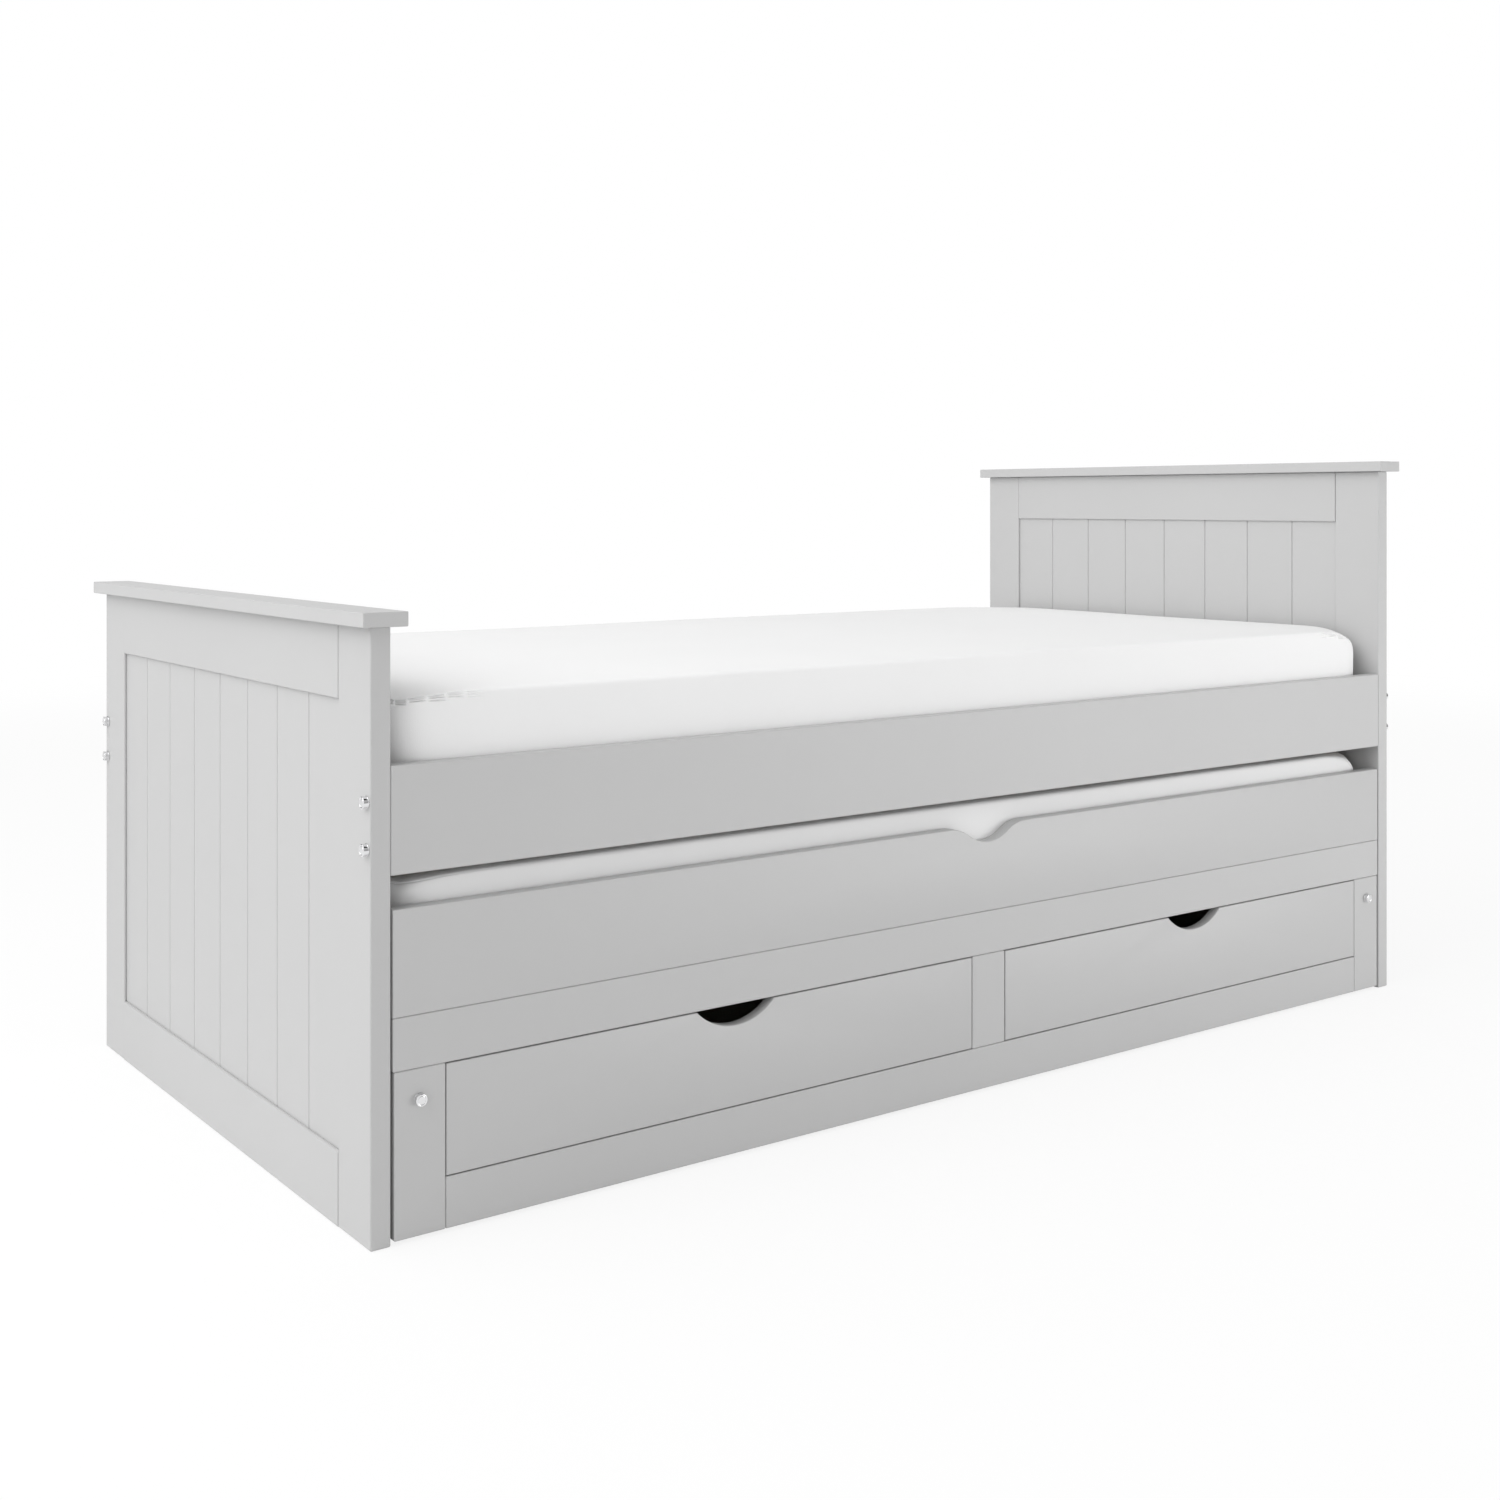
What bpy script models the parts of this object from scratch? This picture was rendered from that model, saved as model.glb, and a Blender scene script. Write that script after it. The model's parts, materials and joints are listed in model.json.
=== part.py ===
"""Trundle bed: a single bed with panelled end boards over a roll-out guest bed with two drawers.

Run with  blender --background --python part.py  or from Blender's text editor.
Metres, +Z up. The origin is on the floor under the middle of the bed; the headboard is at +X
and the front, where the guest bed rolls out, is at -Y.
"""
import math

import bmesh
import bpy
from mathutils import Matrix, Vector

# ---- driving dimensions ------------------------------------------------------------------
INNER_X = 0.971          # inner face of both end boards, from the middle of the bed
FRONT_Y = -0.505         # front face of posts, rails, panel and drawers
HEADBOARD_H = 0.955      # to the top of its cap
FOOTBOARD_H = 0.752

STILE_T = 0.026          # end board frames
FRAME_W = 0.092          # width of end board stiles and rails
RAIL_PROUD = 0.0008      # end board rails stand proud of their stiles, on each face
PANEL_RECESS = 0.004     # tongued panel, below the stile's face
PANEL_TONGUE = 0.0095    # how far the panel enters the frame's groove
GROOVE_PITCH = 0.1044    # V grooves in the panel
GROOVES_EACH_SIDE = 3    # besides the middle one
GROOVE_W = 0.003
GROOVE_D = 0.0022
CAP_T = 0.018
CAP_OVER = (0.016, 0.015)                   # cap overhang at the faces and at the ends

BOARD_T = 0.020          # side rails and the front of the guest bed
SIDE_RAIL_Z = (0.4385, 0.569)
LEDGE = (0.025, 0.0175)  # slat ledge of the upper bed, depth and height
LEDGE_LIFT = 0.001       # above the side rail's lower edge
GUEST_LEDGE_H = 0.026
SLAT_REACH = (0.930, 0.915)                 # half length of the slatted area, upper and guest bed
SLAT_T = 0.018
SLAT_W = 0.070
SLAT_PLAY = 0.002        # between a slat's end and the board beside it
UPPER_SLATS = 14
LOWER_SLATS = 13
TAPE_T = 0.0015
TAPE_W = 0.024
TAPE_INSET = 0.10        # middle of a tape from the slats' ends

UPPER_MATTRESS = (0.950, 0.480, 0.6500)     # half length, half width, top
LOWER_MATTRESS = (0.946, 0.478, 0.4270)
MATTRESS_R = 0.035       # rounding of a mattress's corners and edges
MATTRESS_STEPS = 4

TRUNDLE_X = 0.968        # half length of the guest bed's front
PANEL_Z = (0.2692, 0.3975)
TOP_RAIL_Z = (0.205, 0.2689)
FLOOR_GAP = 0.0044       # under the guest bed's frame
END_STILE_X = (0.8992, 0.9665)
CENTRE_STILE_X = 0.033
BOTTOM_RAIL_TOP = 0.067
END_BOARD_X = (0.924, 0.944)
BACK_Y = (0.480, 0.498)
BACK_Z = (0.030, 0.330)
DIVIDER_T = 0.018
LOWER_SLAT_TOP = 0.280
PANEL_NOTCH = (0.078, 0.0245)               # finger notch: half width, depth

DRAWER_X = (0.0345, 0.8980)                 # front, from the middle of the bed
DRAWER_Z = (0.0685, 0.2035)
DRAWER_FRONT_T = 0.018
DRAWER_BOX_X = (0.0565, 0.8760)
DRAWER_BOX_Z = (0.0856, 0.1850)
DRAWER_DEPTH = 0.600
DRAWER_SIDE_T = 0.012
DRAWER_BACK_LOW = 0.0905
DRAWER_BOTTOM = (0.0955, 0.1005)
NOTCH_CHORD = 0.128
NOTCH_DEPTH = 0.0265

RUNNER_Z = (0.0673, 0.0850)
RUNNER_INNER_X = 0.850   # inner edge of the runners at the sides
CENTRE_RUNNER_X = 0.082
RUNNER_GUIDE_T = 0.018
RUNNER_GUIDE_TOP = 0.110
SLIDE_PLAY = 0.0015      # between a drawer's side and its guide

BOLT_R = 0.003
BOLT_LENGTH = 0.062
BOLT_HOLE_R = 0.0033
BOLT_HOLE_DEPTH = 0.066
BOLT_FLANGE = (0.0078, 0.0022)              # radius, thickness
BOLT_CAP = (0.0064, 0.0072)                 # radius, height with the flange
SOCKET = (0.0029, 0.004)                    # corner radius and depth of the hexagon
NUT_R = 0.005                               # cross dowel hole across a bolt
NUT_SETBACK = 0.006                         # middle of the cross dowel from the bolt's tip
RAIL_BOLT_Z = (0.471, 0.527)
STILE_BOLT = (0.934, 0.168)                 # x and z of the bolt in each end stile

WHEEL_R = 0.025
WHEEL_X = (0.9025, 0.9195)
WHEEL_BORE_R = 0.0043
AXLE_R = 0.004
CASTOR_Y = (-0.420, 0.400)
BRACKET_T = 0.002
BRACKET_L = 0.044
BRACKET_Z = (0.016, 0.0585)
BRACKET_EDGE = 0.0016

GAP = 0.0003             # left between touching pieces
GLUE_LAP = 0.005         # a tongue in its groove, and a glued ledge in its board
OVERRUN = 0.010          # how far a cutter passes the face that it cuts
EDGE = 0.0012            # eased edge of a board
THIN_EDGE = 0.0008       # eased edge of a drawer's boards
WELD = 0.00002           # merge distance for an outline's caps
ARC_STEPS = 8
HOLE_SIDES = 12
WHEEL_SIDES = 20
NOTCH_SIDES = 64

BED = bpy.data.collections.new("trundle_bed")
CUTTERS = bpy.data.collections.new("cutters")


# ---- scene and materials -----------------------------------------------------------------
def clear_scene():
    for obj in list(bpy.data.objects):
        bpy.data.objects.remove(obj, do_unlink=True)
    bpy.context.scene.collection.children.link(BED)
    bpy.context.scene.collection.children.link(CUTTERS)


def material(name, color, roughness, metallic=0.0):
    mat = bpy.data.materials.new(name)
    mat.use_nodes = True
    shader = mat.node_tree.nodes["Principled BSDF"]
    shader.inputs["Base Color"].default_value = (*color, 1.0)
    shader.inputs["Roughness"].default_value = roughness
    shader.inputs["Metallic"].default_value = metallic
    mat.diffuse_color = (*color, 1.0)
    return mat


PAINT = material("painted_board", (0.56, 0.56, 0.56), 0.42)
PINE = material("pine", (0.66, 0.49, 0.31), 0.6)
PLY = material("drawer_board", (0.62, 0.60, 0.57), 0.6)
TICKING = material("mattress_ticking", (0.83, 0.83, 0.83), 0.85)
CHROME = material("bolt_chrome", (0.75, 0.75, 0.76), 0.2, 1.0)
ZINC = material("castor_zinc", (0.60, 0.61, 0.62), 0.38, 1.0)
NYLON = material("castor_nylon", (0.05, 0.05, 0.055), 0.5)


# ---- building helpers --------------------------------------------------------------------
def adopt(obj, name, mat=None):
    """Name an object and put it with the bed's parts, or with the cutters if it has no material."""
    for owner in list(obj.users_collection):
        owner.objects.unlink(obj)
    obj.name = name
    obj.data.name = name
    if mat:
        BED.objects.link(obj)
        obj.data.materials.clear()
        obj.data.materials.append(mat)
    else:
        CUTTERS.objects.link(obj)
        obj.hide_render = True
        obj.display_type = "WIRE"
    return obj


def block(name, x, y, z, mat=None, edge=0.0):
    """A box between the given (low, high) pairs, with its edges eased by a bevel."""
    spans = [sorted(span) for span in (x, y, z)]
    size = [high - low for low, high in spans]
    centre = [(high + low) / 2 for low, high in spans]
    bpy.ops.mesh.primitive_cube_add(size=1.0, location=centre)
    obj = bpy.context.object
    obj.data.transform(Matrix.Diagonal((*size, 1.0)))
    adopt(obj, name, mat)
    if edge:
        ease(obj, edge)
    return obj


def ease(obj, width, segments=1, angle=40.0):
    bevel = obj.modifiers.new("eased_edges", "BEVEL")
    bevel.width = width
    bevel.segments = segments
    bevel.limit_method = "ANGLE"
    bevel.angle_limit = math.radians(angle)


def rod(name, radius, start, end, sides=HOLE_SIDES):
    """A round bar from one point to another, for cutting or joining."""
    start, end = Vector(start), Vector(end)
    bpy.ops.mesh.primitive_cylinder_add(vertices=sides, radius=radius, depth=(end - start).length,
                                        location=(start + end) / 2)
    obj = bpy.context.object
    turn = (end - start).to_track_quat("Z", "Y")
    obj.data.transform(turn.to_matrix().to_4x4())
    return adopt(obj, name)


def boolean(obj, other, operation="DIFFERENCE", solver="EXACT"):
    step = obj.modifiers.new(other.name, "BOOLEAN")
    step.operation = operation
    step.object = other
    step.solver = solver


def cut_box(obj, label, x, y, z):
    boolean(obj, block(f"{obj.name}_{label}", x, y, z))


def cut_rod(obj, label, radius, start, end, sides=HOLE_SIDES, solver="EXACT"):
    boolean(obj, rod(f"{obj.name}_{label}", radius, start, end, sides=sides), solver=solver)


def plate(name, points, thickness, matrix, mat):
    """A flat outline of the given thickness: a filled 2D curve, placed by a matrix, made a mesh."""
    curve = bpy.data.curves.new(name, "CURVE")
    curve.dimensions = "2D"
    curve.fill_mode = "BOTH"
    curve.extrude = thickness / 2
    spline = curve.splines.new("POLY")
    spline.points.add(len(points) - 1)
    for point, (u, v) in zip(spline.points, points):
        point.co = (u, v, 0.0, 1.0)
    spline.use_cyclic_u = True
    guide = bpy.data.objects.new(name, curve)
    BED.objects.link(guide)
    guide.matrix_world = matrix
    bpy.context.view_layer.update()
    mesh = bpy.data.meshes.new_from_object(guide.evaluated_get(bpy.context.evaluated_depsgraph_get()))
    weld = bmesh.new()
    weld.from_mesh(mesh)
    bmesh.ops.remove_doubles(weld, verts=weld.verts, dist=WELD)
    bmesh.ops.recalc_face_normals(weld, faces=weld.faces)
    weld.to_mesh(mesh)
    weld.free()
    bpy.data.objects.remove(guide)
    bpy.data.curves.remove(curve)
    obj = bpy.data.objects.new(name, mesh)
    obj.matrix_world = matrix
    return adopt(obj, name, mat)


def plane_matrix(origin, u_axis, v_axis):
    """Matrix whose local X and Y are the given world axes."""
    u, v = Vector(u_axis), Vector(v_axis)
    matrix = Matrix((u, v, u.cross(v))).transposed().to_4x4()
    matrix.translation = Vector(origin)
    return matrix


def arc(centre, radius, start, end, steps=ARC_STEPS):
    """Points along an arc, angles in radians."""
    for step in range(steps + 1):
        angle = start + (end - start) * step / steps
        yield (centre[0] + radius * math.cos(angle), centre[1] + radius * math.sin(angle))


# ---- end boards --------------------------------------------------------------------------
def panel_outline(half_width, thickness):
    """Plan of the tongued panel: both long sides carry V grooves at an even pitch."""
    centres = [GROOVE_PITCH * n for n in range(-GROOVES_EACH_SIDE, GROOVES_EACH_SIDE + 1)]
    half = thickness / 2
    points = [(-half_width, -half)]
    for centre in centres:
        points += [(centre - GROOVE_W / 2, -half), (centre, -half + GROOVE_D), (centre + GROOVE_W / 2, -half)]
    points += [(half_width, -half), (half_width, half)]
    for centre in reversed(centres):
        points += [(centre + GROOVE_W / 2, half), (centre, half - GROOVE_D), (centre - GROOVE_W / 2, half)]
    return points + [(-half_width, half)]


def end_board(name, side, height):
    """Stiles, rails, grooved panel and cap of a footboard (side -1) or headboard (side +1)."""
    stile_x = (side * INNER_X, side * (INNER_X + STILE_T))
    rail_x = (side * (INNER_X - RAIL_PROUD), side * (INNER_X + STILE_T + RAIL_PROUD))
    middle_x = side * (INNER_X + STILE_T / 2)
    top = height - CAP_T
    inner_y = -FRONT_Y - FRAME_W
    panel_t = STILE_T - 2 * PANEL_RECESS
    panel_z = (FRAME_W - PANEL_TONGUE, top - FRAME_W + PANEL_TONGUE)
    panel_y = inner_y + PANEL_TONGUE
    groove_x = (middle_x - panel_t / 2 - GAP, middle_x + panel_t / 2 + GAP)
    groove_z = (panel_z[0] - GAP, panel_z[1] + GAP)

    for place, outer in (("front", FRONT_Y), ("back", -FRONT_Y)):
        facing = math.copysign(1.0, outer)
        stile_y = (outer, facing * inner_y)
        stile = block(f"{name}_{place}_stile", stile_x, stile_y, (0.0, top - GAP), PAINT, EDGE)
        cut_box(stile, "groove", groove_x, (facing * (panel_y + GAP), facing * (inner_y - OVERRUN)), groove_z)
        y = outer - facing * BOARD_T / 2
        bore_x = (side * (INNER_X - OVERRUN), side * (INNER_X + STILE_T + OVERRUN))
        for z in RAIL_BOLT_Z:
            cut_rod(stile, "bolt_hole", BOLT_HOLE_R, (bore_x[0], y, z), (bore_x[1], y, z))

    for place, z in (("top", (top - FRAME_W, top - GAP)), ("bottom", (0.0, FRAME_W))):
        rail = block(f"{name}_{place}_rail", rail_x, (GAP - inner_y, inner_y - GAP), z, PAINT, EDGE)
        cut_box(rail, "groove", groove_x, (-panel_y, panel_y), groove_z)

    panel_height = panel_z[1] - panel_z[0]
    plate(f"{name}_panel", panel_outline(panel_y, panel_t), panel_height,
          plane_matrix((middle_x, 0.0, sum(panel_z) / 2), (0, 1, 0), (-1, 0, 0)), PAINT)

    face_over, end_over = CAP_OVER
    cap_x = (side * (INNER_X - face_over), side * (INNER_X + STILE_T + face_over))
    cap = block(f"{name}_cap", cap_x, (FRONT_Y - end_over, end_over - FRONT_Y), (top, height), PAINT)
    ease(cap, EDGE, segments=2)


# ---- fasteners ---------------------------------------------------------------------------
def bolt(name, head_at, direction):
    """Connector bolt: a turned shank, flange and round cap, with a hexagon socket."""
    flange_r, flange_t = BOLT_FLANGE
    cap_r, cap_h = BOLT_CAP
    profile = [(0.0, cap_h), (cap_r - EDGE, cap_h), (cap_r, cap_h - EDGE), (cap_r, flange_t),
               (flange_r, flange_t), (flange_r, GAP), (BOLT_R, GAP),
               (BOLT_R, -BOLT_LENGTH), (0.0, -BOLT_LENGTH)]
    mesh = bpy.data.meshes.new(name)
    mesh.from_pydata([(r, 0.0, z) for r, z in profile], [(n, n + 1) for n in range(len(profile) - 1)], [])
    obj = bpy.data.objects.new(name, mesh)
    adopt(obj, name, CHROME)
    obj.location = head_at
    obj.rotation_mode = "QUATERNION"
    obj.rotation_quaternion = Vector(direction).to_track_quat("Z", "Y")
    turn = obj.modifiers.new("turned", "SCREW")
    turn.steps = turn.render_steps = HOLE_SIDES
    turn.use_merge_vertices = True
    turn.merge_threshold = 0.00001
    turn.use_smooth_shade = False
    head_at, direction = Vector(head_at), Vector(direction)
    socket_r, socket_depth = SOCKET
    cut_rod(obj, "socket", socket_r, head_at + direction * (cap_h - socket_depth),
            head_at + direction * (cap_h + OVERRUN), sides=6)


def rail_bolts():
    for board, side in (("footboard", -1), ("headboard", 1)):
        for place, facing in (("front", -1), ("back", 1)):
            for level, z in zip(("lower", "upper"), RAIL_BOLT_Z):
                head = (side * (INNER_X + STILE_T), facing * (-FRONT_Y - BOARD_T / 2), z)
                bolt(f"{board}_{place}_{level}_bolt", head, (side, 0, 0))


# ---- upper bed ---------------------------------------------------------------------------
def side_rails():
    """Side rails with their slat ledges glued on, bored at both ends for bolts and cross dowels."""
    for place, facing in (("front", -1), ("back", 1)):
        outer, inner = facing * -FRONT_Y, facing * (-FRONT_Y - BOARD_T)
        rail_x = (GAP - INNER_X, INNER_X - GAP)
        rail = block(f"{place}_side_rail", rail_x, (outer, inner), SIDE_RAIL_Z, PAINT, EDGE)
        ledge_y = (inner + facing * GLUE_LAP, inner - facing * LEDGE[0])
        ledge_z = (SIDE_RAIL_Z[0] + LEDGE_LIFT, SIDE_RAIL_Z[0] + LEDGE_LIFT + LEDGE[1])
        ledge = block(f"{place}_ledge", (-SLAT_REACH[0], SLAT_REACH[0]), ledge_y, ledge_z)
        boolean(rail, ledge, "UNION")
        middle = (outer + inner) / 2
        for side in (-1, 1):
            nut_x = side * (INNER_X + STILE_T - BOLT_LENGTH + NUT_SETBACK)
            for z in RAIL_BOLT_Z:
                # the crossing holes need the manifold solver: the exact one leaves their rims open
                cut_rod(rail, "bolt_hole", BOLT_HOLE_R, (side * (INNER_X + OVERRUN), middle, z),
                        (side * (INNER_X + STILE_T - BOLT_HOLE_DEPTH), middle, z), solver="MANIFOLD")
                cut_rod(rail, "nut_hole", NUT_R, (nut_x, inner - facing * OVERRUN, z),
                        (nut_x, middle + facing * NUT_SETBACK, z), solver="MANIFOLD")


def slat_base(name, count, reach_x, y, top):
    """Slats held at their spacing by two woven tapes stapled underneath, as one roll."""
    slat_z = (top - SLAT_T, top)
    tape_z = (slat_z[0] - TAPE_T, slat_z[0] + TAPE_T)
    tape_x = reach_x - SLAT_W / 2
    base = block(name, (-reach_x, SLAT_W - reach_x), y, slat_z, PINE)
    for n in range(1, count):
        x = -tape_x + 2 * tape_x * n / (count - 1)
        slat = block(f"{name}_slat_{n}", (x - SLAT_W / 2, x + SLAT_W / 2), y, slat_z)
        boolean(base, slat, "UNION")
    for label, middle in (("front", y[0] + TAPE_INSET), ("back", y[1] - TAPE_INSET)):
        tape_y = (middle - TAPE_W / 2, middle + TAPE_W / 2)
        tape = block(f"{name}_tape_{label}", (-tape_x, tape_x), tape_y, tape_z)
        boolean(base, tape, "UNION")


def mattress(name, half_x, y, z):
    """Plain block mattress with rounded corners and edges."""
    pad = block(name, (-half_x, half_x), y, z, TICKING)
    ease(pad, MATTRESS_R, segments=MATTRESS_STEPS)


def upper_bed():
    side_rails()
    slat_top = SIDE_RAIL_Z[0] + LEDGE_LIFT + LEDGE[1] + GAP + SLAT_T
    slat_y = -FRONT_Y - BOARD_T - SLAT_PLAY
    slat_base("upper_slat_base", UPPER_SLATS, SLAT_REACH[0], (-slat_y, slat_y), slat_top)
    half_x, half_y, top = UPPER_MATTRESS
    mattress("upper_mattress", half_x, (-half_y, half_y), (slat_top + GAP, top))


# ---- guest bed ---------------------------------------------------------------------------
def notched_panel_outline():
    """Front view of the guest bed's panel: its top edge dips in a soft S-sided finger notch."""
    half_width, depth = PANEL_NOTCH
    low, high = PANEL_Z
    # Two equal arcs meet halfway down each side, tangent to the edge and to the notch's floor.
    radius = ((half_width / 2) ** 2 + (depth / 2) ** 2) / depth
    sweep = math.asin(half_width / 2 / radius)
    right = list(arc((0.0, high - depth + radius), radius, -math.pi / 2, -math.pi / 2 + sweep))
    right += list(arc((half_width, high - radius), radius, math.pi / 2 + sweep, math.pi / 2))[1:]
    left = [(-x, z) for x, z in right][1:]
    lower_edge = [(-TRUNDLE_X, low), (TRUNDLE_X, low)]
    return lower_edge + [(TRUNDLE_X, high)] + right[::-1] + left + [(-TRUNDLE_X, high)]


def guest_bed_front():
    back = FRONT_Y + BOARD_T
    face = (FRONT_Y, back)
    panel = plate("trundle_front_panel", notched_panel_outline(), BOARD_T,
                  plane_matrix((0.0, FRONT_Y + BOARD_T / 2, 0.0), (1, 0, 0), (0, 0, 1)), PAINT)
    ease(panel, EDGE)

    top_rail = block("trundle_top_rail", (-TRUNDLE_X, TRUNDLE_X), face, TOP_RAIL_Z, PAINT, EDGE)
    ledge_top = LOWER_SLAT_TOP - SLAT_T - GAP
    ledge_z = (ledge_top - GUEST_LEDGE_H, ledge_top)
    ledge_x = END_BOARD_X[0] - GAP
    ledge = block("front_ledge", (-ledge_x, ledge_x), (back - GLUE_LAP, back + LEDGE[0]), ledge_z)
    boolean(top_rail, ledge, "UNION")

    stile_z = (FLOOR_GAP, TOP_RAIL_Z[0] - GAP)
    for place, side in (("left", -1), ("right", 1)):
        x = (side * END_STILE_X[0], side * END_STILE_X[1])
        stile = block(f"trundle_{place}_stile", x, face, stile_z, PAINT, EDGE)
        bolt_x, bolt_z = side * STILE_BOLT[0], STILE_BOLT[1]
        cut_rod(stile, "bolt_hole", BOLT_HOLE_R, (bolt_x, FRONT_Y - OVERRUN, bolt_z),
                (bolt_x, back + OVERRUN, bolt_z))
        bolt(f"trundle_{place}_stile_bolt", (bolt_x, FRONT_Y, bolt_z), (0, -1, 0))
    block("trundle_centre_stile", (-CENTRE_STILE_X, CENTRE_STILE_X), face,
          (BOTTOM_RAIL_TOP + GAP, TOP_RAIL_Z[0] - GAP), PAINT, EDGE)
    rail_x = END_STILE_X[0] - GAP
    block("trundle_bottom_rail", (-rail_x, rail_x), face, (FLOOR_GAP, BOTTOM_RAIL_TOP), PAINT, EDGE)
    return ledge_z


def guest_bed_carcass(ledge_z):
    """End boards, back board and middle divider that carry the slats, behind the painted front."""
    front = FRONT_Y + BOARD_T + GAP
    board_y, board_z = (front, BACK_Y[0] - GAP), (FLOOR_GAP, LOWER_SLAT_TOP)
    nut_y = FRONT_Y + BOLT_LENGTH - NUT_SETBACK
    for place, side in (("left", -1), ("right", 1)):
        x = (side * END_BOARD_X[0], side * END_BOARD_X[1])
        board = block(f"trundle_{place}_end_board", x, board_y, board_z, PAINT, EDGE)
        bolt_x, bolt_z = side * STILE_BOLT[0], STILE_BOLT[1]
        cut_rod(board, "bolt_hole", BOLT_HOLE_R, (bolt_x, front - OVERRUN, bolt_z),
                (bolt_x, FRONT_Y + BOLT_HOLE_DEPTH, bolt_z))
        cut_rod(board, "nut_hole", NUT_R, (side * (END_BOARD_X[0] - OVERRUN), nut_y, bolt_z),
                (bolt_x + side * NUT_SETBACK, nut_y, bolt_z))

    back = block("trundle_back_board", (-END_BOARD_X[1], END_BOARD_X[1]), BACK_Y, BACK_Z, PAINT, EDGE)
    ledge_x = END_BOARD_X[0] - GAP
    ledge = block("back_ledge", (-ledge_x, ledge_x), (BACK_Y[0] - LEDGE[0], BACK_Y[0] + GLUE_LAP), ledge_z)
    boolean(back, ledge, "UNION")

    # The divider stands on the middle runner and is notched at the top corners round both ledges.
    low, high = RUNNER_GUIDE_TOP + GAP, ledge_z[1] - TAPE_T
    shoulder = ledge_z[0] - GAP
    y0, y1 = front, BACK_Y[0] - GAP
    notch = LEDGE[0] + GAP
    outline = [(y0, low), (y1, low), (y1, shoulder), (y1 - notch, shoulder), (y1 - notch, high),
               (y0 + notch, high), (y0 + notch, shoulder), (y0, shoulder)]
    plate("trundle_divider", outline, DIVIDER_T, plane_matrix((0, 0, 0), (0, 1, 0), (0, 0, 1)), PAINT)


def runners():
    """Wooden runners: an L against each end board and one wide inverted T in the middle."""
    front, back = FRONT_Y + BOARD_T + GAP, BACK_Y[0] - GAP
    low, top = RUNNER_Z
    guide_x = DRAWER_BOX_X[1] + SLIDE_PLAY
    guide_back = guide_x + RUNNER_GUIDE_T
    outer_x = END_BOARD_X[0] - GAP
    section = [(RUNNER_INNER_X, low), (outer_x, low), (outer_x, top), (guide_back, top),
               (guide_back, RUNNER_GUIDE_TOP), (guide_x, RUNNER_GUIDE_TOP), (guide_x, top),
               (RUNNER_INNER_X, top)]
    upright = plane_matrix((0, (front + back) / 2, 0), (1, 0, 0), (0, 0, 1))
    for place, side in (("left", -1), ("right", 1)):
        points = [(side * x, z) for x, z in section][::side]
        plate(f"{place}_drawer_runner", points, back - front, upright, PINE)
    guide_x = DRAWER_BOX_X[0] - SLIDE_PLAY
    half = [(CENTRE_RUNNER_X, low), (CENTRE_RUNNER_X, top), (guide_x, top), (guide_x, RUNNER_GUIDE_TOP)]
    points = half + [(-x, z) for x, z in reversed(half)]
    plate("centre_drawer_runner", points, back - front, upright, PINE)


def castors():
    """Four fixed castors: a folded bracket with a riveted axle, and a turned wheel."""
    middle_x = sum(WHEEL_X) / 2
    half_x = END_BOARD_X[0] - GAP - middle_x
    inner = half_x - BRACKET_T
    axle_end = inner + BRACKET_T / 2
    axle_z = WHEEL_R
    for place, side in (("left", -1), ("right", 1)):
        for row, y in zip(("front", "back"), CASTOR_Y):
            centre = side * middle_x
            x = (centre - half_x, centre + half_x)
            ends = (y - BRACKET_L / 2, y + BRACKET_L / 2)
            bracket = block(f"{row}_{place}_castor_bracket", x, ends, BRACKET_Z, ZINC, BRACKET_EDGE)
            cut_box(bracket, "channel", (centre - inner, centre + inner),
                    (ends[0] - OVERRUN, ends[1] + OVERRUN), (-OVERRUN, BRACKET_Z[1] - BRACKET_T))
            axle = rod(f"{row}_{place}_axle", AXLE_R, (centre - axle_end, y, axle_z),
                       (centre + axle_end, y, axle_z))
            boolean(bracket, axle, "UNION")
            wheel(f"{row}_{place}_castor_wheel", (centre, y, axle_z))


def wheel(name, centre):
    """Solid nylon wheel with a rounded tread and a shallow dish each side, turned about X."""
    half = (WHEEL_X[1] - WHEEL_X[0]) / 2
    profile = [(WHEEL_BORE_R, half), (0.008, half), (0.010, half - 0.002), (0.0185, half - 0.002),
               (0.0215, half - 0.0005), (WHEEL_R, half - 0.004)]
    profile += [(r, -z) for r, z in reversed(profile)]
    mesh = bpy.data.meshes.new(name)
    edges = [(n, (n + 1) % len(profile)) for n in range(len(profile))]
    mesh.from_pydata([(r, 0.0, z) for r, z in profile], edges, [])
    obj = bpy.data.objects.new(name, mesh)
    adopt(obj, name, NYLON)
    obj.location = centre
    obj.rotation_euler = (0.0, math.radians(90.0), 0.0)
    turn = obj.modifiers.new("turned", "SCREW")
    turn.steps = turn.render_steps = WHEEL_SIDES
    turn.use_merge_vertices = True
    turn.merge_threshold = 0.00001
    turn.use_smooth_shade = False


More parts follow.
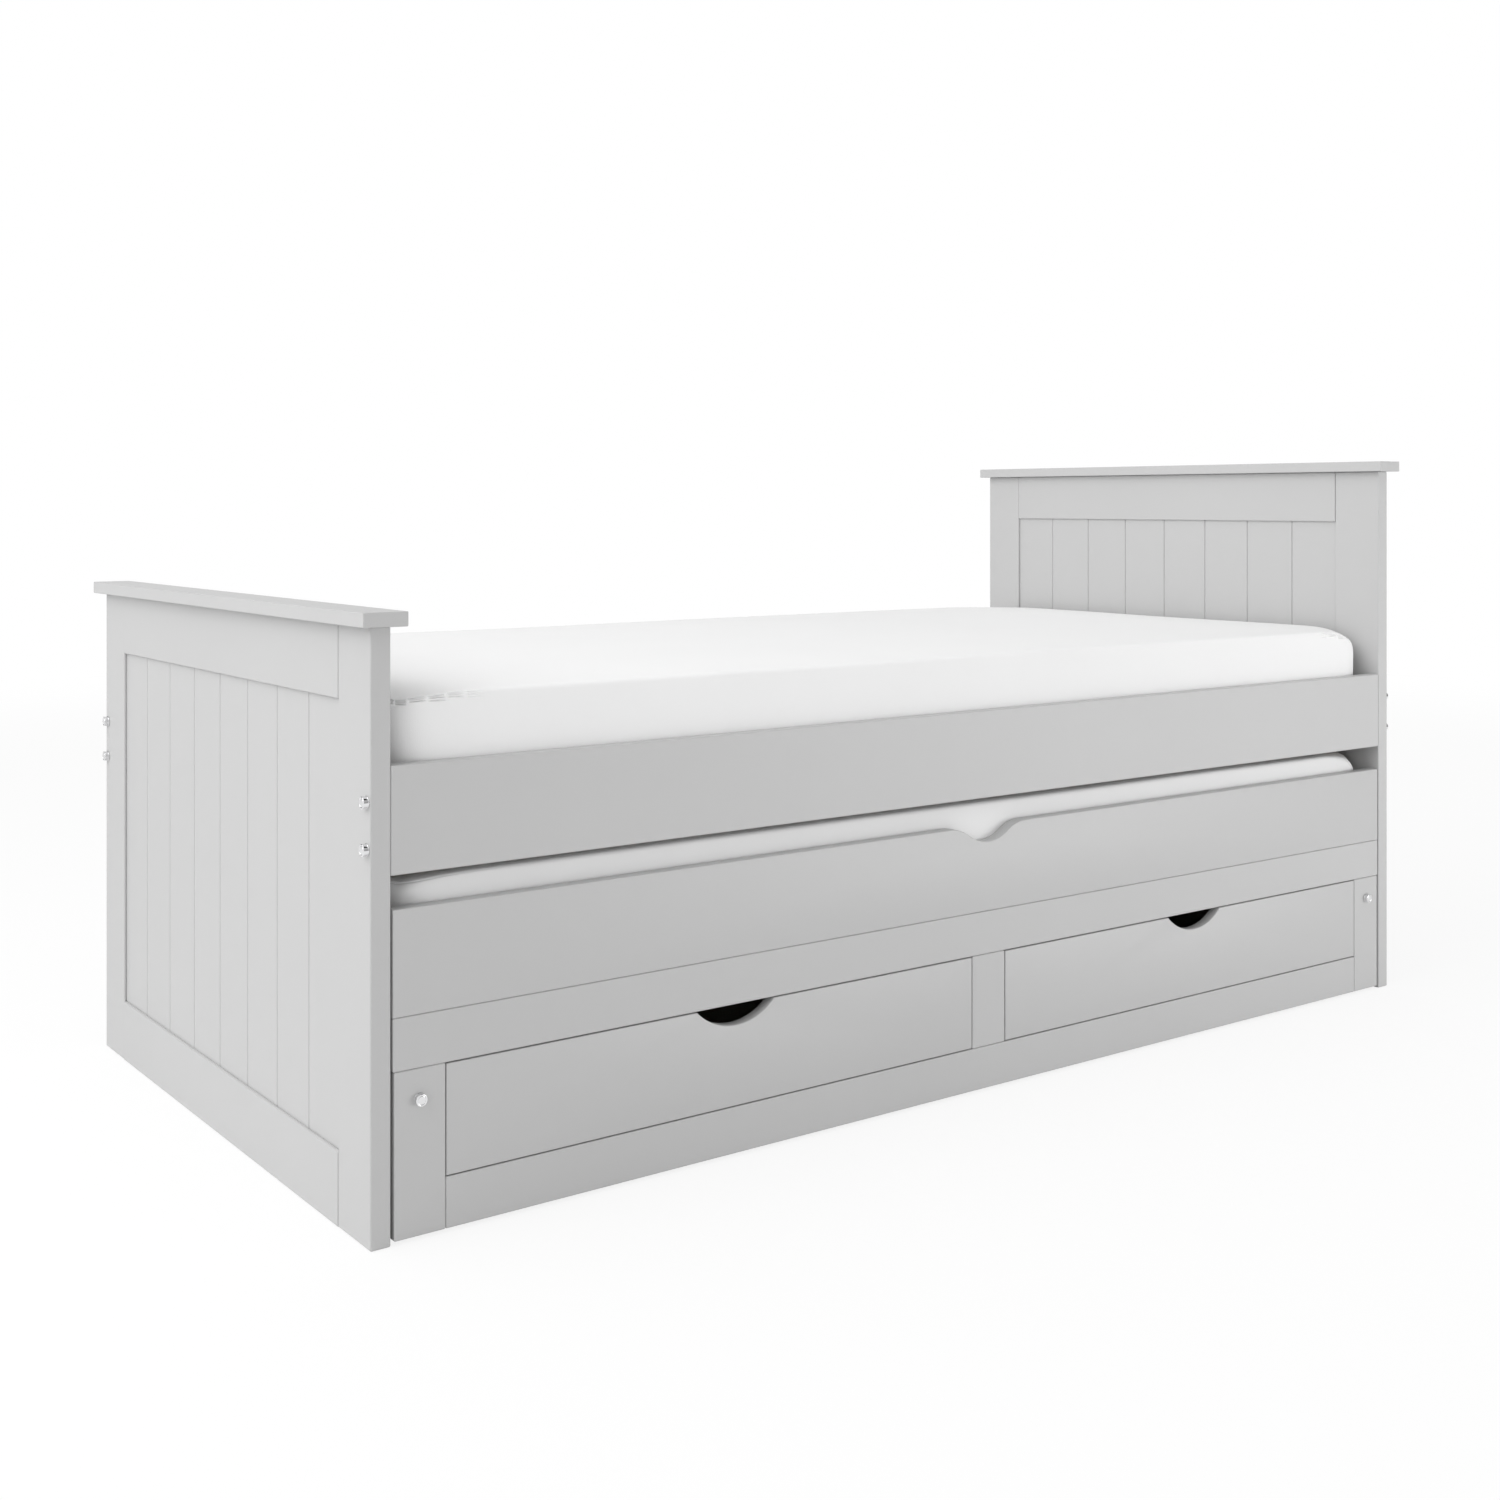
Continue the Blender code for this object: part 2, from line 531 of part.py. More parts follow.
def drawer(name, side):
    """Painted front with a finger notch, and a box of sides and back grooved for its bottom."""
    front_back = FRONT_Y + DRAWER_FRONT_T
    box_front = front_back + GAP
    box_back = box_front + DRAWER_DEPTH
    inner = (DRAWER_BOX_X[0] + DRAWER_SIDE_T, DRAWER_BOX_X[1] - DRAWER_SIDE_T)
    bottom_x = (side * (inner[0] - GLUE_LAP), side * (inner[1] + GLUE_LAP))
    bottom_y = (front_back - GLUE_LAP, box_back - DRAWER_SIDE_T + GLUE_LAP)
    groove_z = (DRAWER_BOTTOM[0] - GAP, DRAWER_BOTTOM[1] + GAP)
    groove_x = (bottom_x[0] - side * GAP, bottom_x[1] + side * GAP)
    groove_y = (bottom_y[0] - GAP, bottom_y[1] + GAP)

    middle = side * sum(DRAWER_X) / 2
    front_x = (side * DRAWER_X[0], side * DRAWER_X[1])
    front = block(f"{name}_front", front_x, (FRONT_Y, front_back), DRAWER_Z, PAINT)
    radius = ((NOTCH_CHORD / 2) ** 2 + NOTCH_DEPTH ** 2) / (2 * NOTCH_DEPTH)
    centre_z = DRAWER_Z[1] - NOTCH_DEPTH + radius
    cut_rod(front, "notch", radius, (middle, FRONT_Y - OVERRUN, centre_z),
            (middle, front_back + OVERRUN, centre_z), sides=NOTCH_SIDES)
    ease(front, EDGE)
    cut_box(front, "groove", groove_x, groove_y, groove_z)

    sides = (("inner", DRAWER_BOX_X[0], inner[0]), ("outer", inner[1], DRAWER_BOX_X[1]))
    for place, low, high in sides:
        board = block(f"{name}_{place}_side", (side * low, side * high), (box_front, box_back),
                      DRAWER_BOX_Z, PLY, THIN_EDGE)
        cut_box(board, "groove", groove_x, groove_y, groove_z)
    back_x = (side * (inner[0] + GAP), side * (inner[1] - GAP))
    back = block(f"{name}_back", back_x, (box_back - DRAWER_SIDE_T, box_back),
                 (DRAWER_BACK_LOW, DRAWER_BOX_Z[1]), PLY, THIN_EDGE)
    cut_box(back, "groove", groove_x, groove_y, groove_z)
    block(f"{name}_bottom", bottom_x, bottom_y, DRAWER_BOTTOM, PLY)


def guest_bed():
    ledge_z = guest_bed_front()
    guest_bed_carcass(ledge_z)
    slat_y = (FRONT_Y + BOARD_T + SLAT_PLAY, BACK_Y[0] - SLAT_PLAY)
    slat_base("trundle_slat_base", LOWER_SLATS, SLAT_REACH[1], slat_y, LOWER_SLAT_TOP)
    half_x, half_y, top = LOWER_MATTRESS
    mattress("trundle_mattress", half_x, (-half_y, half_y), (LOWER_SLAT_TOP + GAP, top))
    runners()
    castors()
    drawer("left_drawer", -1)
    drawer("right_drawer", 1)


def main():
    clear_scene()
    end_board("footboard", -1, FOOTBOARD_H)
    end_board("headboard", 1, HEADBOARD_H)
    rail_bolts()
    upper_bed()
    guest_bed()


main()
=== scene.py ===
"""Finishes and soft goods of a painted trundle bed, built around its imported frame.

Laid out as an add-on: sizes and colours are properties, each group of pieces is an operator, and
a sidebar panel lists them. Everything is in metres, in the frame's own axes: the headboard is at
+X, the front where the guest bed rolls out is at -Y, and the floor is at Z = 0.
"""

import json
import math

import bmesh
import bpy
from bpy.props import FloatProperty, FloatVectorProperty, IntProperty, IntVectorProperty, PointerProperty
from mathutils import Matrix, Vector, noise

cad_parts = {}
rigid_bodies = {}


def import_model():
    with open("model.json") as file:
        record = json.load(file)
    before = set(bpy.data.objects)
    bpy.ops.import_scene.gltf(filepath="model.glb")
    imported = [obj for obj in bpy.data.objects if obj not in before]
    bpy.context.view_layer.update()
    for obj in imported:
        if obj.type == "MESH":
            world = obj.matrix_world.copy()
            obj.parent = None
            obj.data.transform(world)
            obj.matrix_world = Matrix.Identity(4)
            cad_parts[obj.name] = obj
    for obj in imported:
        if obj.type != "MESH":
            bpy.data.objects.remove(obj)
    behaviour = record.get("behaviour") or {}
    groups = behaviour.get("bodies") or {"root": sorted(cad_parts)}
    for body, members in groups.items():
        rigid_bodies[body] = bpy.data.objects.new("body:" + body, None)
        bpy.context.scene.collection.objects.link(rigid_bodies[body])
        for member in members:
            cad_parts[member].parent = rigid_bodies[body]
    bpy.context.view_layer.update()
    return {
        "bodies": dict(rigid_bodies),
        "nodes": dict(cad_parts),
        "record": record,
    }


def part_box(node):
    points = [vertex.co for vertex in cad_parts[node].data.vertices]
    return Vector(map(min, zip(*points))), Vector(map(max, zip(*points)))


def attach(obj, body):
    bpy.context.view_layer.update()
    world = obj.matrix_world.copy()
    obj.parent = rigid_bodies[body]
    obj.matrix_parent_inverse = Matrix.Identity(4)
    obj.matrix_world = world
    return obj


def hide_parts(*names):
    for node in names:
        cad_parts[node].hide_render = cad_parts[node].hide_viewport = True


bl_info = {
    "name": "Trundle Bed Finishes",
    "version": (1, 0, 0),
    "blender": (4, 5, 0),
    "location": "View3D > Sidebar > Trundle Bed",
    "description": "Mattresses, fittings, finishes and a studio for a painted trundle bed",
    "category": "Object",
}

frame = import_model()

NODES = frame["nodes"]
WHITE = (1.0, 1.0, 1.0, 1.0)
UNSTRETCHED = (1.0, 1.0, 1.0)
MIX_A, MIX_B, MIX_RESULT = 6, 7, 2          # the colour sockets of a mix node

# the mattress covers, in metres where they are lengths
CLOTH_FRAMES = 20
COVER_GATHER = (0.60, 0.60, 0.35)           # how far the grid gathers towards the edges, by axis
SEAM_TOLERANCE = 0.0001
CORE_HOLD = 0.25                            # share of its rise that the foam core lets the top keep
UNEVENNESS = 0.0016                         # height of the top's broad waves
WAVE_SCALE = (2.2, 2.6, 5.0)                # their number per metre, by axis
DROOP_START = 0.4                           # share of the height where the corners' droop begins
SEAM_WIDTH = 0.0014
HOLLOW_WIDTH = 0.014                        # of the dip beside a corner, and its way above the seam
SEWN_BAND = 0.06                            # nothing further from the seam is moved by sewing
FINE_BANDS = ((1, 0.022), (2, 0.016))       # cuts, and how far from the seam they are made
CREASE_PITCH = 0.0042                       # from one crease of a group to the next
CREASE_GROUP = 0.026                        # from one group of creases to the next along the seam
CREASE_FILL = 0.88                          # share of that length that is creased
CREASE_WIDTH = 0.0010
CREASE_SLANT = 0.0016                       # a crease's fall over one group, away from the corner
CREASE_STAGGER = 0.6                        # pitches between one group's level and the next one's

# the slat tapes
TAPE_STEPS = 180
TAPE_SAGS = 13
TAPE_SAG = 0.0002
TAPE_CLEARANCE = 0.0001

# the studio
DOME_LEAN = (-0.38, 0.24, 0.18)             # the dome's light rises by this much along each axis
BLACK_FLAGS = (                             # direction, cosine of half the width
    ((0.39, -0.10, 0.87), 0.84),
    ((-0.34, 0.84, 0.42), 0.90),
)
FLOOR_BOUNCE = (0.80, 0.80, 0.80, 1.0)      # the floor's colour as it lights the bed
FLOOR_GLOW = 0.85                           # share of white in the floor that the camera sees
FLOOR_FADE = 0.55                           # share of the floor's radius where it begins to fade
FLOOR_DROP = 0.0005
SOFT_LIGHTS = (                             # name, place, target, size, setting that holds its watts
    ("key_light", (-4.0, -0.6, 3.0), (0.0, 0.0, 0.4), (3.0, 3.0), "key"),
    ("top_light", (-1.6, 0.0, 2.8), (0.6, 0.0, 0.6), (1.6, 1.6), "top"),
    ("front_fill", (2.5, -3.6, 0.45), (0.4, -0.5, 0.4), (2.8, 0.8), "fill"),
)
CAMERA_PLACE = (-1.902, -2.489, 0.880)
CAMERA_SHIFT = (0.0002, -0.1648)


# ---- settings a user would change --------------------------------------------------------
def colour_property(name, description, default):
    return FloatVectorProperty(name=name, description=description, default=default, subtype="COLOR",
                               size=3, min=0.0, max=1.0)


def length_property(name, description, default):
    return FloatProperty(name=name, description=description, default=default, unit="LENGTH",
                         precision=4)


def factor_property(name, description, default):
    return FloatProperty(name=name, description=description, default=default, min=0.0, max=1.0,
                         subtype="FACTOR")


def count_property(name, description, default, least, most):
    return IntProperty(name=name, description=description, default=default, min=least, max=most)


def watts_property(name, description, default):
    return FloatProperty(name=name, description=description, default=default, unit="POWER")


class PaintSettings(bpy.types.PropertyGroup):
    """Satin paint on the boards, and the finger notches in them."""
    color: colour_property("Paint", "Colour of the satin paint", (0.53, 0.53, 0.53))
    roughness: factor_property("Roughness", "Gloss of the paint, from mirror to chalk", 0.42)
    mottle: factor_property("Mottle", "How much the paint's tone drifts across a board", 0.03)
    peel: length_property("Orange peel", "Height of the fine texture left by spraying", 0.00004)
    edge: length_property("Eased edge", "Extra rounding over the eased edges of the boards", 0.00035)
    notch_edge: length_property("Notch edge", "Rounding of the edges of notched boards", 0.0015)
    panel_notch_width: length_property("Panel notch", "Width of the guest bed panel's notch", 0.156)
    panel_notch_depth: length_property("Panel notch depth", "Depth of the same notch", 0.0245)
    drawer_notch_width: length_property("Drawer notch", "Width of each drawer's notch", 0.128)
    drawer_notch_depth: length_property("Drawer notch depth", "Depth of the same notch", 0.0265)


class TimberSettings(bpy.types.PropertyGroup):
    """Bare timber, slats and drawer board."""
    light: colour_property("Early wood", "Light bands of the pine", (0.72, 0.53, 0.34))
    dark: colour_property("Late wood", "Dark bands of the pine", (0.52, 0.32, 0.16))
    board: colour_property("Drawer board", "Foil on the drawer sides and bottoms", (0.66, 0.65, 0.63))
    upper_slats: count_property("Upper slats", "Slats under the upper mattress", 14, 2, 30)
    guest_slats: count_property("Guest slats", "Slats under the guest mattress", 13, 2, 30)
    slat_width: length_property("Slat width", "Width of a slat", 0.070)
    slat_thickness: length_property("Slat thickness", "Thickness of a slat", 0.018)
    slat_edge: length_property("Slat edge", "Rounding of the slats' edges", 0.003)
    tape_inset: length_property("Tape inset", "From the slats' ends to the middle of a tape", 0.10)
    tape_width: length_property("Tape width", "Width of a slat tape", 0.024)


class MattressSettings(bpy.types.PropertyGroup):
    """Both mattresses."""
    color: colour_property("Ticking", "Colour of the knitted cover", (0.89, 0.89, 0.89))
    corner: length_property("Corner radius", "Rounding of the corners in plan", 0.042)
    shoulder: length_property("Shoulder radius", "Rounding of the edges before the cover is filled", 0.005)
    foot_shoulder: length_property("Foot shoulder", "The same rounding at the foot end's corners", 0.018)
    head_shoulder: length_property("Head shoulder", "The same rounding at the head end's corners", 0.042)
    cuts: IntVectorProperty(name="Cuts", description="Cuts of the cover's grid along X, Y and Z",
                            default=(129, 65, 16))
    pressure: FloatProperty(name="Pressure", description="Filling of the cover", default=4.0)
    swell: length_property("Swell", "Furthest that a point of the cover may move", 0.007)
    crown: length_property("Crown", "How far the fabric's crown stands over the core", 0.0068)
    foot_swell: length_property("Foot swell", "How far the foot end's fabric stands over the core", 0.020)
    head_swell: length_property("Head swell", "The same at the upper mattress's head end", 0.014)
    guest_swell: length_property("Guest swell", "The same at the guest mattress's head end", 0.021)
    side_swell: length_property("Side swell", "How far each side's fabric stands over the core", 0.008)
    foot_droop: length_property("Foot droop", "How far the foot end's top corners are pulled down", 0.004)
    head_droop: length_property("Head droop", "How far the head end's top corners are pulled down", 0.014)
    droop_reach: length_property("Droop reach", "How far from a corner its droop begins", 0.11)
    seam_depth: length_property("Seam depth", "Depth of the border seam", 0.0008)
    hollow: length_property("Hollow", "Depth of the dip over the seam beside a corner", 0.004)
    crease: length_property("Crease depth", "Depth of the short creases beside the corners", 0.0045)
    crease_run: length_property("Crease run", "How far from a corner the creases go on", 0.130)


class FittingSettings(bpy.types.PropertyGroup):
    """Bolts, cross dowels and castors."""
    chrome: colour_property("Chrome", "Colour of the plated bolts", (0.80, 0.80, 0.81))
    zinc: colour_property("Zinc", "Colour of the castor brackets and cross dowels", (0.62, 0.63, 0.65))
    nylon: colour_property("Nylon", "Colour of the castor wheels", (0.035, 0.035, 0.04))
    tape: colour_property("Tape", "Colour of the woven slat tapes", (0.75, 0.73, 0.68))
    sides: count_property("Sides", "Sides of a round fitting", 48, 12, 96)
    cap_height: length_property("Bolt cap", "Height of a bolt's cap over the board", 0.0072)
    cap_radius: length_property("Bolt cap radius", "Radius of a bolt's cap", 0.0075)
    pitch: length_property("Thread pitch", "Pitch of the bolts' thread", 0.0010)


class StudioSettings(bpy.types.PropertyGroup):
    """Floor, light and camera."""
    floor: colour_property("Floor", "Colour of the pale floor", (0.93, 0.93, 0.93))
    floor_radius: length_property("Floor radius", "Where the pale floor has faded into the backdrop", 7.0)
    ambient: FloatProperty(name="Ambient", description="Even light from all round", default=0.69)
    key: watts_property("Key", "Light over the footboard", 54.0)
    top: watts_property("Top", "Light over the bed", 10.0)
    fill: watts_property("Fill", "Low light in front", 53.0)
    lens: FloatProperty(name="Lens", description="Focal length on a 36 mm sensor, in mm", default=43.65)
    yaw: FloatProperty(name="Yaw", description="Turn of the level camera from +Y towards +X",
                       default=math.radians(36.30), subtype="ANGLE")


# ---- mesh helpers ------------------------------------------------------------------------
def new_object(name, mesh):
    obj = bpy.data.objects.new(name, mesh)
    bpy.context.scene.collection.objects.link(obj)
    return obj


def mesh_from(bm, name, smooth=True, crease=math.radians(35.0)):
    """Turn a bmesh into a named mesh, smooth except across edges sharper than the crease."""
    mesh = bpy.data.meshes.new(name)
    bmesh.ops.recalc_face_normals(bm, faces=bm.faces)
    bm.to_mesh(mesh)
    bm.free()
    if smooth:
        mesh.shade_smooth()
        mesh.set_sharp_from_angle(angle=crease)
    return mesh


def evaluated_mesh(obj, name):
    """A copy of an object's mesh with its modifiers applied."""
    graph = bpy.context.evaluated_depsgraph_get()
    mesh = bpy.data.meshes.new_from_object(obj.evaluated_get(graph))
    mesh.name = name
    return mesh


def apply_modifiers(obj):
    """Put an object's mesh, as its modifiers leave it, in the place of the old one."""
    bpy.context.view_layer.update()
    mesh = evaluated_mesh(obj, obj.name)
    obj.modifiers.clear()
    old, obj.data = obj.data, mesh
    bpy.data.meshes.remove(old)
    return obj


def rounded_block(bm, low, high, radius, segments=3):
    """Add a box with rounded edges to a bmesh."""
    low, high = Vector(low), Vector(high)
    made = bmesh.ops.create_cube(bm, size=1.0)["verts"]
    bmesh.ops.scale(bm, vec=high - low, verts=made)
    bmesh.ops.translate(bm, vec=(low + high) / 2, verts=made)
    edges = list({edge for vert in made for edge in vert.link_edges})
    bmesh.ops.bevel(bm, geom=edges, offset=radius, segments=segments, profile=0.5, affect="EDGES")


def loft_rings(bm, rings, sides, matrix, closed=False):
    """Join rings round local Z, each given as (height, radius)."""
    angles = [2 * math.pi * n / sides for n in range(sides)]
    loops = []
    for height, radius in rings:
        ring = [(radius * math.cos(angle), radius * math.sin(angle), height) for angle in angles]
        loops.append([bm.verts.new(matrix @ Vector(point)) for point in ring])
    pairs = list(zip(loops, loops[1:]))
    if closed:
        pairs.append((loops[-1], loops[0]))
    for lower, upper in pairs:
        for n in range(sides):
            m = (n + 1) % sides
            bm.faces.new((lower[n], lower[m], upper[m], upper[n]))
    if not closed:
        bm.faces.new(loops[0][::-1])
        bm.faces.new(loops[-1])


def rounded_profile(points, steps=3):
    """Replace each (radius, height, fillet) corner of a turned profile by an arc of that fillet."""
    result = []
    count = len(points)
    for n, (r, z, fillet) in enumerate(points):
        here = Vector((r, z))
        if fillet <= 0.0 or n in (0, count - 1):
            result.append(here)
            continue
        before = (Vector(points[n - 1][:2]) - here).normalized()
        after = (Vector(points[n + 1][:2]) - here).normalized()
        for step in range(steps + 1):
            t = step / steps
            blend_in = here + before * fillet * (1 - t) ** 2
            result.append(blend_in + after * fillet * t ** 2)
    return [(p.y, p.x) for p in result]


def outline_mesh(name, points, thickness, edge, matrix):
    """Flat board of any outline with rounded edges, from a filled 2D curve."""
    curve = bpy.data.curves.new(name, "CURVE")
    curve.dimensions = "2D"
    curve.fill_mode = "BOTH"
    curve.extrude = thickness / 2 - edge
    curve.bevel_depth = edge
    curve.bevel_resolution = 2
    curve.offset = -edge
    spline = curve.splines.new("POLY")
    spline.points.add(len(points) - 1)
    for point, (u, v) in zip(spline.points, points):
        point.co = (u, v, 0.0, 1.0)
    spline.use_cyclic_u = True
    guide = new_object(name, curve)
    bpy.context.view_layer.update()
    bm = bmesh.new()
    bm.from_mesh(evaluated_mesh(guide, name + "_raw"))
    bmesh.ops.remove_doubles(bm, verts=bm.verts, dist=0.00002)
    bm.transform(matrix)
    bpy.data.objects.remove(guide)
    bpy.data.curves.remove(curve)
    return mesh_from(bm, name)


def arc(centre, radius, start, end, steps):
    """Points along an arc, both ends among them."""
    for step in range(steps + 1):
        angle = start + (end - start) * step / steps
        yield (centre[0] + radius * math.cos(angle), centre[1] + radius * math.sin(angle))


def finish_piece(obj, body, material, replaces=()):
    """Give a new piece its material and place in the frame."""
    obj.data.materials.clear()
    obj.data.materials.append(material)
    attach(obj, body)
    if replaces:
        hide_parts(*replaces)
    return obj


# ---- shader helpers ----------------------------------------------------------------------
def add_node(tree, kind, **values):
    """Add a shader node; keywords naming an input set its default, the others its properties."""
    node = tree.nodes.new(kind)
    for key, value in values.items():
        if hasattr(node, key):
            setattr(node, key, value)
        else:
            node.inputs[key.replace("_", " ").title()].default_value = value
    return node


def math_node(tree, operation, first, second=0.0):
    """Output of a maths node; each of its two values is a number or another node's output."""
    node = tree.nodes.new("ShaderNodeMath")
    node.operation = operation
    for socket, value in zip(node.inputs, (first, second)):
        if isinstance(value, bpy.types.NodeSocket):
            tree.links.new(value, socket)
        else:
            socket.default_value = value
    return node.outputs[0]


def new_group(name, inputs, outputs):
    """Empty shader group; inputs are (name, default) and outputs (name, socket kind)."""
    tree = bpy.data.node_groups.new(name, "ShaderNodeTree")
    for label, default in inputs:
        kind = "NodeSocketColor" if isinstance(default, tuple) else "NodeSocketFloat"
        socket = tree.interface.new_socket(label, in_out="INPUT", socket_type=kind)
        socket.default_value = (*default, 1.0) if isinstance(default, tuple) else default
    for label, kind in outputs:
        tree.interface.new_socket(label, in_out="OUTPUT", socket_type=kind)
    return tree, tree.nodes.new("NodeGroupInput"), tree.nodes.new("NodeGroupOutput")


def stretched_coordinates(tree, scale):
    """Object coordinates multiplied by a vector."""
    place = tree.nodes.new("ShaderNodeTexCoord")
    mapping = tree.nodes.new("ShaderNodeMapping")
    mapping.inputs["Scale"].default_value = scale
    tree.links.new(place.outputs["Object"], mapping.inputs["Vector"])
    return mapping.outputs["Vector"]


def tone_drift_group():
    """Colour with a soft, broad drift of tone and a matching drift of roughness."""
    tree, source, sink = new_group(
        "tone_drift", (("Color", (0.5, 0.5, 0.5)), ("Scale", 3.0), ("Amount", 0.04), ("Roughness", 0.5)),
        (("Color", "NodeSocketColor"), ("Roughness", "NodeSocketFloat")))
    link = tree.links.new
    cloud = add_node(tree, "ShaderNodeTexNoise", detail=4.0, roughness=0.55)
    link(stretched_coordinates(tree, UNSTRETCHED), cloud.inputs["Vector"])
    link(source.outputs["Scale"], cloud.inputs["Scale"])
    centred = math_node(tree, "SUBTRACT", cloud.outputs["Fac"], 0.5)
    swing = math_node(tree, "MULTIPLY", centred, source.outputs["Amount"])
    gain = math_node(tree, "ADD", math_node(tree, "MULTIPLY", swing, 2.0), 1.0)
    tint = tree.nodes.new("ShaderNodeVectorMath")
    tint.operation = "SCALE"
    link(source.outputs["Color"], tint.inputs[0])
    link(gain, tint.inputs["Scale"])
    link(tint.outputs[0], sink.inputs["Color"])
    link(math_node(tree, "ADD", source.outputs["Roughness"], swing), sink.inputs["Roughness"])
    return tree


def fine_grain_group():
    """Height of a fine, even texture: spray peel on paint, moulding grain on plastic, pits on zinc."""
    tree, source, sink = new_group(
        "fine_grain", (("Scale", 900.0), ("Coarse", 0.3)), (("Height", "NodeSocketFloat"),))
    link = tree.links.new
    where = stretched_coordinates(tree, UNSTRETCHED)
    fine = add_node(tree, "ShaderNodeTexNoise", detail=2.0, roughness=0.5)
    broad = add_node(tree, "ShaderNodeTexNoise", detail=1.0, roughness=0.5)
    for tex in (fine, broad):
        link(where, tex.inputs["Vector"])
    link(source.outputs["Scale"], fine.inputs["Scale"])
    broad_share = 0.12
    link(math_node(tree, "MULTIPLY", source.outputs["Scale"], broad_share), broad.inputs["Scale"])
    weighted = math_node(tree, "MULTIPLY", broad.outputs["Fac"], source.outputs["Coarse"])
    link(math_node(tree, "ADD", fine.outputs["Fac"], weighted), sink.inputs["Height"])
    return tree


def timber_group():
    """Growth rings, pores and colour of a plank whose grain runs along Y."""
    tree, source, sink = new_group(
        "timber_grain", (("Early", (0.7, 0.5, 0.3)), ("Late", (0.5, 0.3, 0.15)), ("Ring Scale", 40.0)),
        (("Color", "NodeSocketColor"), ("Height", "NodeSocketFloat"), ("Roughness", "NodeSocketFloat")))
    link = tree.links.new
    grain_stretch = (1.0, 0.08, 1.0)
    pore_stretch = (900.0, 22.0, 900.0)
    along = stretched_coordinates(tree, grain_stretch)
    warp = add_node(tree, "ShaderNodeTexNoise", scale=9.0, detail=3.0)
    link(along, warp.inputs["Vector"])
    bent = tree.nodes.new("ShaderNodeVectorMath")
    bent.operation = "ADD"
    push = tree.nodes.new("ShaderNodeVectorMath")
    push.operation = "SCALE"
    push.inputs["Scale"].default_value = 0.05
    link(warp.outputs["Color"], push.inputs[0])
    link(along, bent.inputs[0])
    link(push.outputs[0], bent.inputs[1])
    rings = add_node(tree, "ShaderNodeTexWave", distortion=2.2, detail=3.0, wave_type="BANDS",
                     bands_direction="X")
    link(bent.outputs[0], rings.inputs["Vector"])
    link(source.outputs["Ring Scale"], rings.inputs["Scale"])
    pores = add_node(tree, "ShaderNodeTexNoise", scale=1.0, detail=3.0, roughness=0.7)
    link(stretched_coordinates(tree, pore_stretch), pores.inputs["Vector"])
    band = math_node(tree, "POWER", rings.outputs["Fac"], 2.2)
    shade = math_node(tree, "ADD", math_node(tree, "MULTIPLY", band, 0.75),
                      math_node(tree, "MULTIPLY", pores.outputs["Fac"], 0.25))
    mix = add_node(tree, "ShaderNodeMix", data_type="RGBA")
    link(shade, mix.inputs["Factor"])
    link(source.outputs["Early"], mix.inputs[MIX_A])
    link(source.outputs["Late"], mix.inputs[MIX_B])
    link(mix.outputs[MIX_RESULT], sink.inputs["Color"])
    link(math_node(tree, "MULTIPLY", shade, -1.0), sink.inputs["Height"])
    link(math_node(tree, "ADD", math_node(tree, "MULTIPLY", shade, 0.14), 0.50), sink.inputs["Roughness"])
    return tree


def knit_group():
    """Height of a knitted or woven cloth: two crossing families of threads, loosened by noise."""
    tree, source, sink = new_group(
        "thread_weave", (("Pitch", 0.0012), ("Loose", 0.35)), (("Height", "NodeSocketFloat"),))
    link = tree.links.new
    where = stretched_coordinates(tree, UNSTRETCHED)
    jitter = add_node(tree, "ShaderNodeTexNoise", scale=260.0, detail=2.0)
    link(where, jitter.inputs["Vector"])
    parts = tree.nodes.new("ShaderNodeSeparateXYZ")
    link(where, parts.inputs[0])
    turn = math_node(tree, "DIVIDE", 2 * math.pi, source.outputs["Pitch"])
    shake = 5.0
    ridges = []
    for axis in ("X", "Y", "Z"):
        phase = math_node(tree, "MULTIPLY", parts.outputs[axis], turn)
        shaken = math_node(tree, "ADD", phase, math_node(tree, "MULTIPLY", jitter.outputs["Fac"], shake))
        ridges.append(math_node(tree, "SINE", shaken))
    weave = math_node(tree, "MULTIPLY", ridges[0], math_node(tree, "ADD", ridges[1], ridges[2]))
    loose = math_node(tree, "MULTIPLY", jitter.outputs["Fac"], source.outputs["Loose"])
    height = math_node(tree, "ADD", math_node(tree, "MULTIPLY", weave, 0.25), loose)
    link(height, sink.inputs["Height"])
    return tree


GROUP_BUILDERS = {"tone_drift": tone_drift_group, "fine_grain": fine_grain_group,
                  "timber_grain": timber_group, "thread_weave": knit_group}


def place_group(tree, name, **values):
    """Place a shared shader group in a material, building it the first time."""
    if name not in bpy.data.node_groups:
        GROUP_BUILDERS[name]()
    node = tree.nodes.new("ShaderNodeGroup")
    node.node_tree = bpy.data.node_groups[name]
    for key, value in values.items():
        label = key.replace("_", " ").title()
        node.inputs[label].default_value = (*value, 1.0) if isinstance(value, tuple) else value
    return node


def new_material(name):
    """A new material, its node tree and its shader."""
    mat = bpy.data.materials.new(name)
    mat.use_nodes = True
    tree = mat.node_tree
    return mat, tree, tree.nodes["Principled BSDF"]


def bump(tree, shader, height, distance, strength=1.0):
    """Lead a height into a shader's normal."""
    node = tree.nodes.new("ShaderNodeBump")
    node.inputs["Strength"].default_value = strength
    node.inputs["Distance"].default_value = distance
    tree.links.new(height, node.inputs["Height"])
    tree.links.new(node.outputs["Normal"], shader.inputs["Normal"])


def lead_colour(tree, shader, group):
    """Lead a shared group's colour and roughness into a shader."""
    tree.links.new(group.outputs["Color"], shader.inputs["Base Color"])
    tree.links.new(group.outputs["Roughness"], shader.inputs["Roughness"])


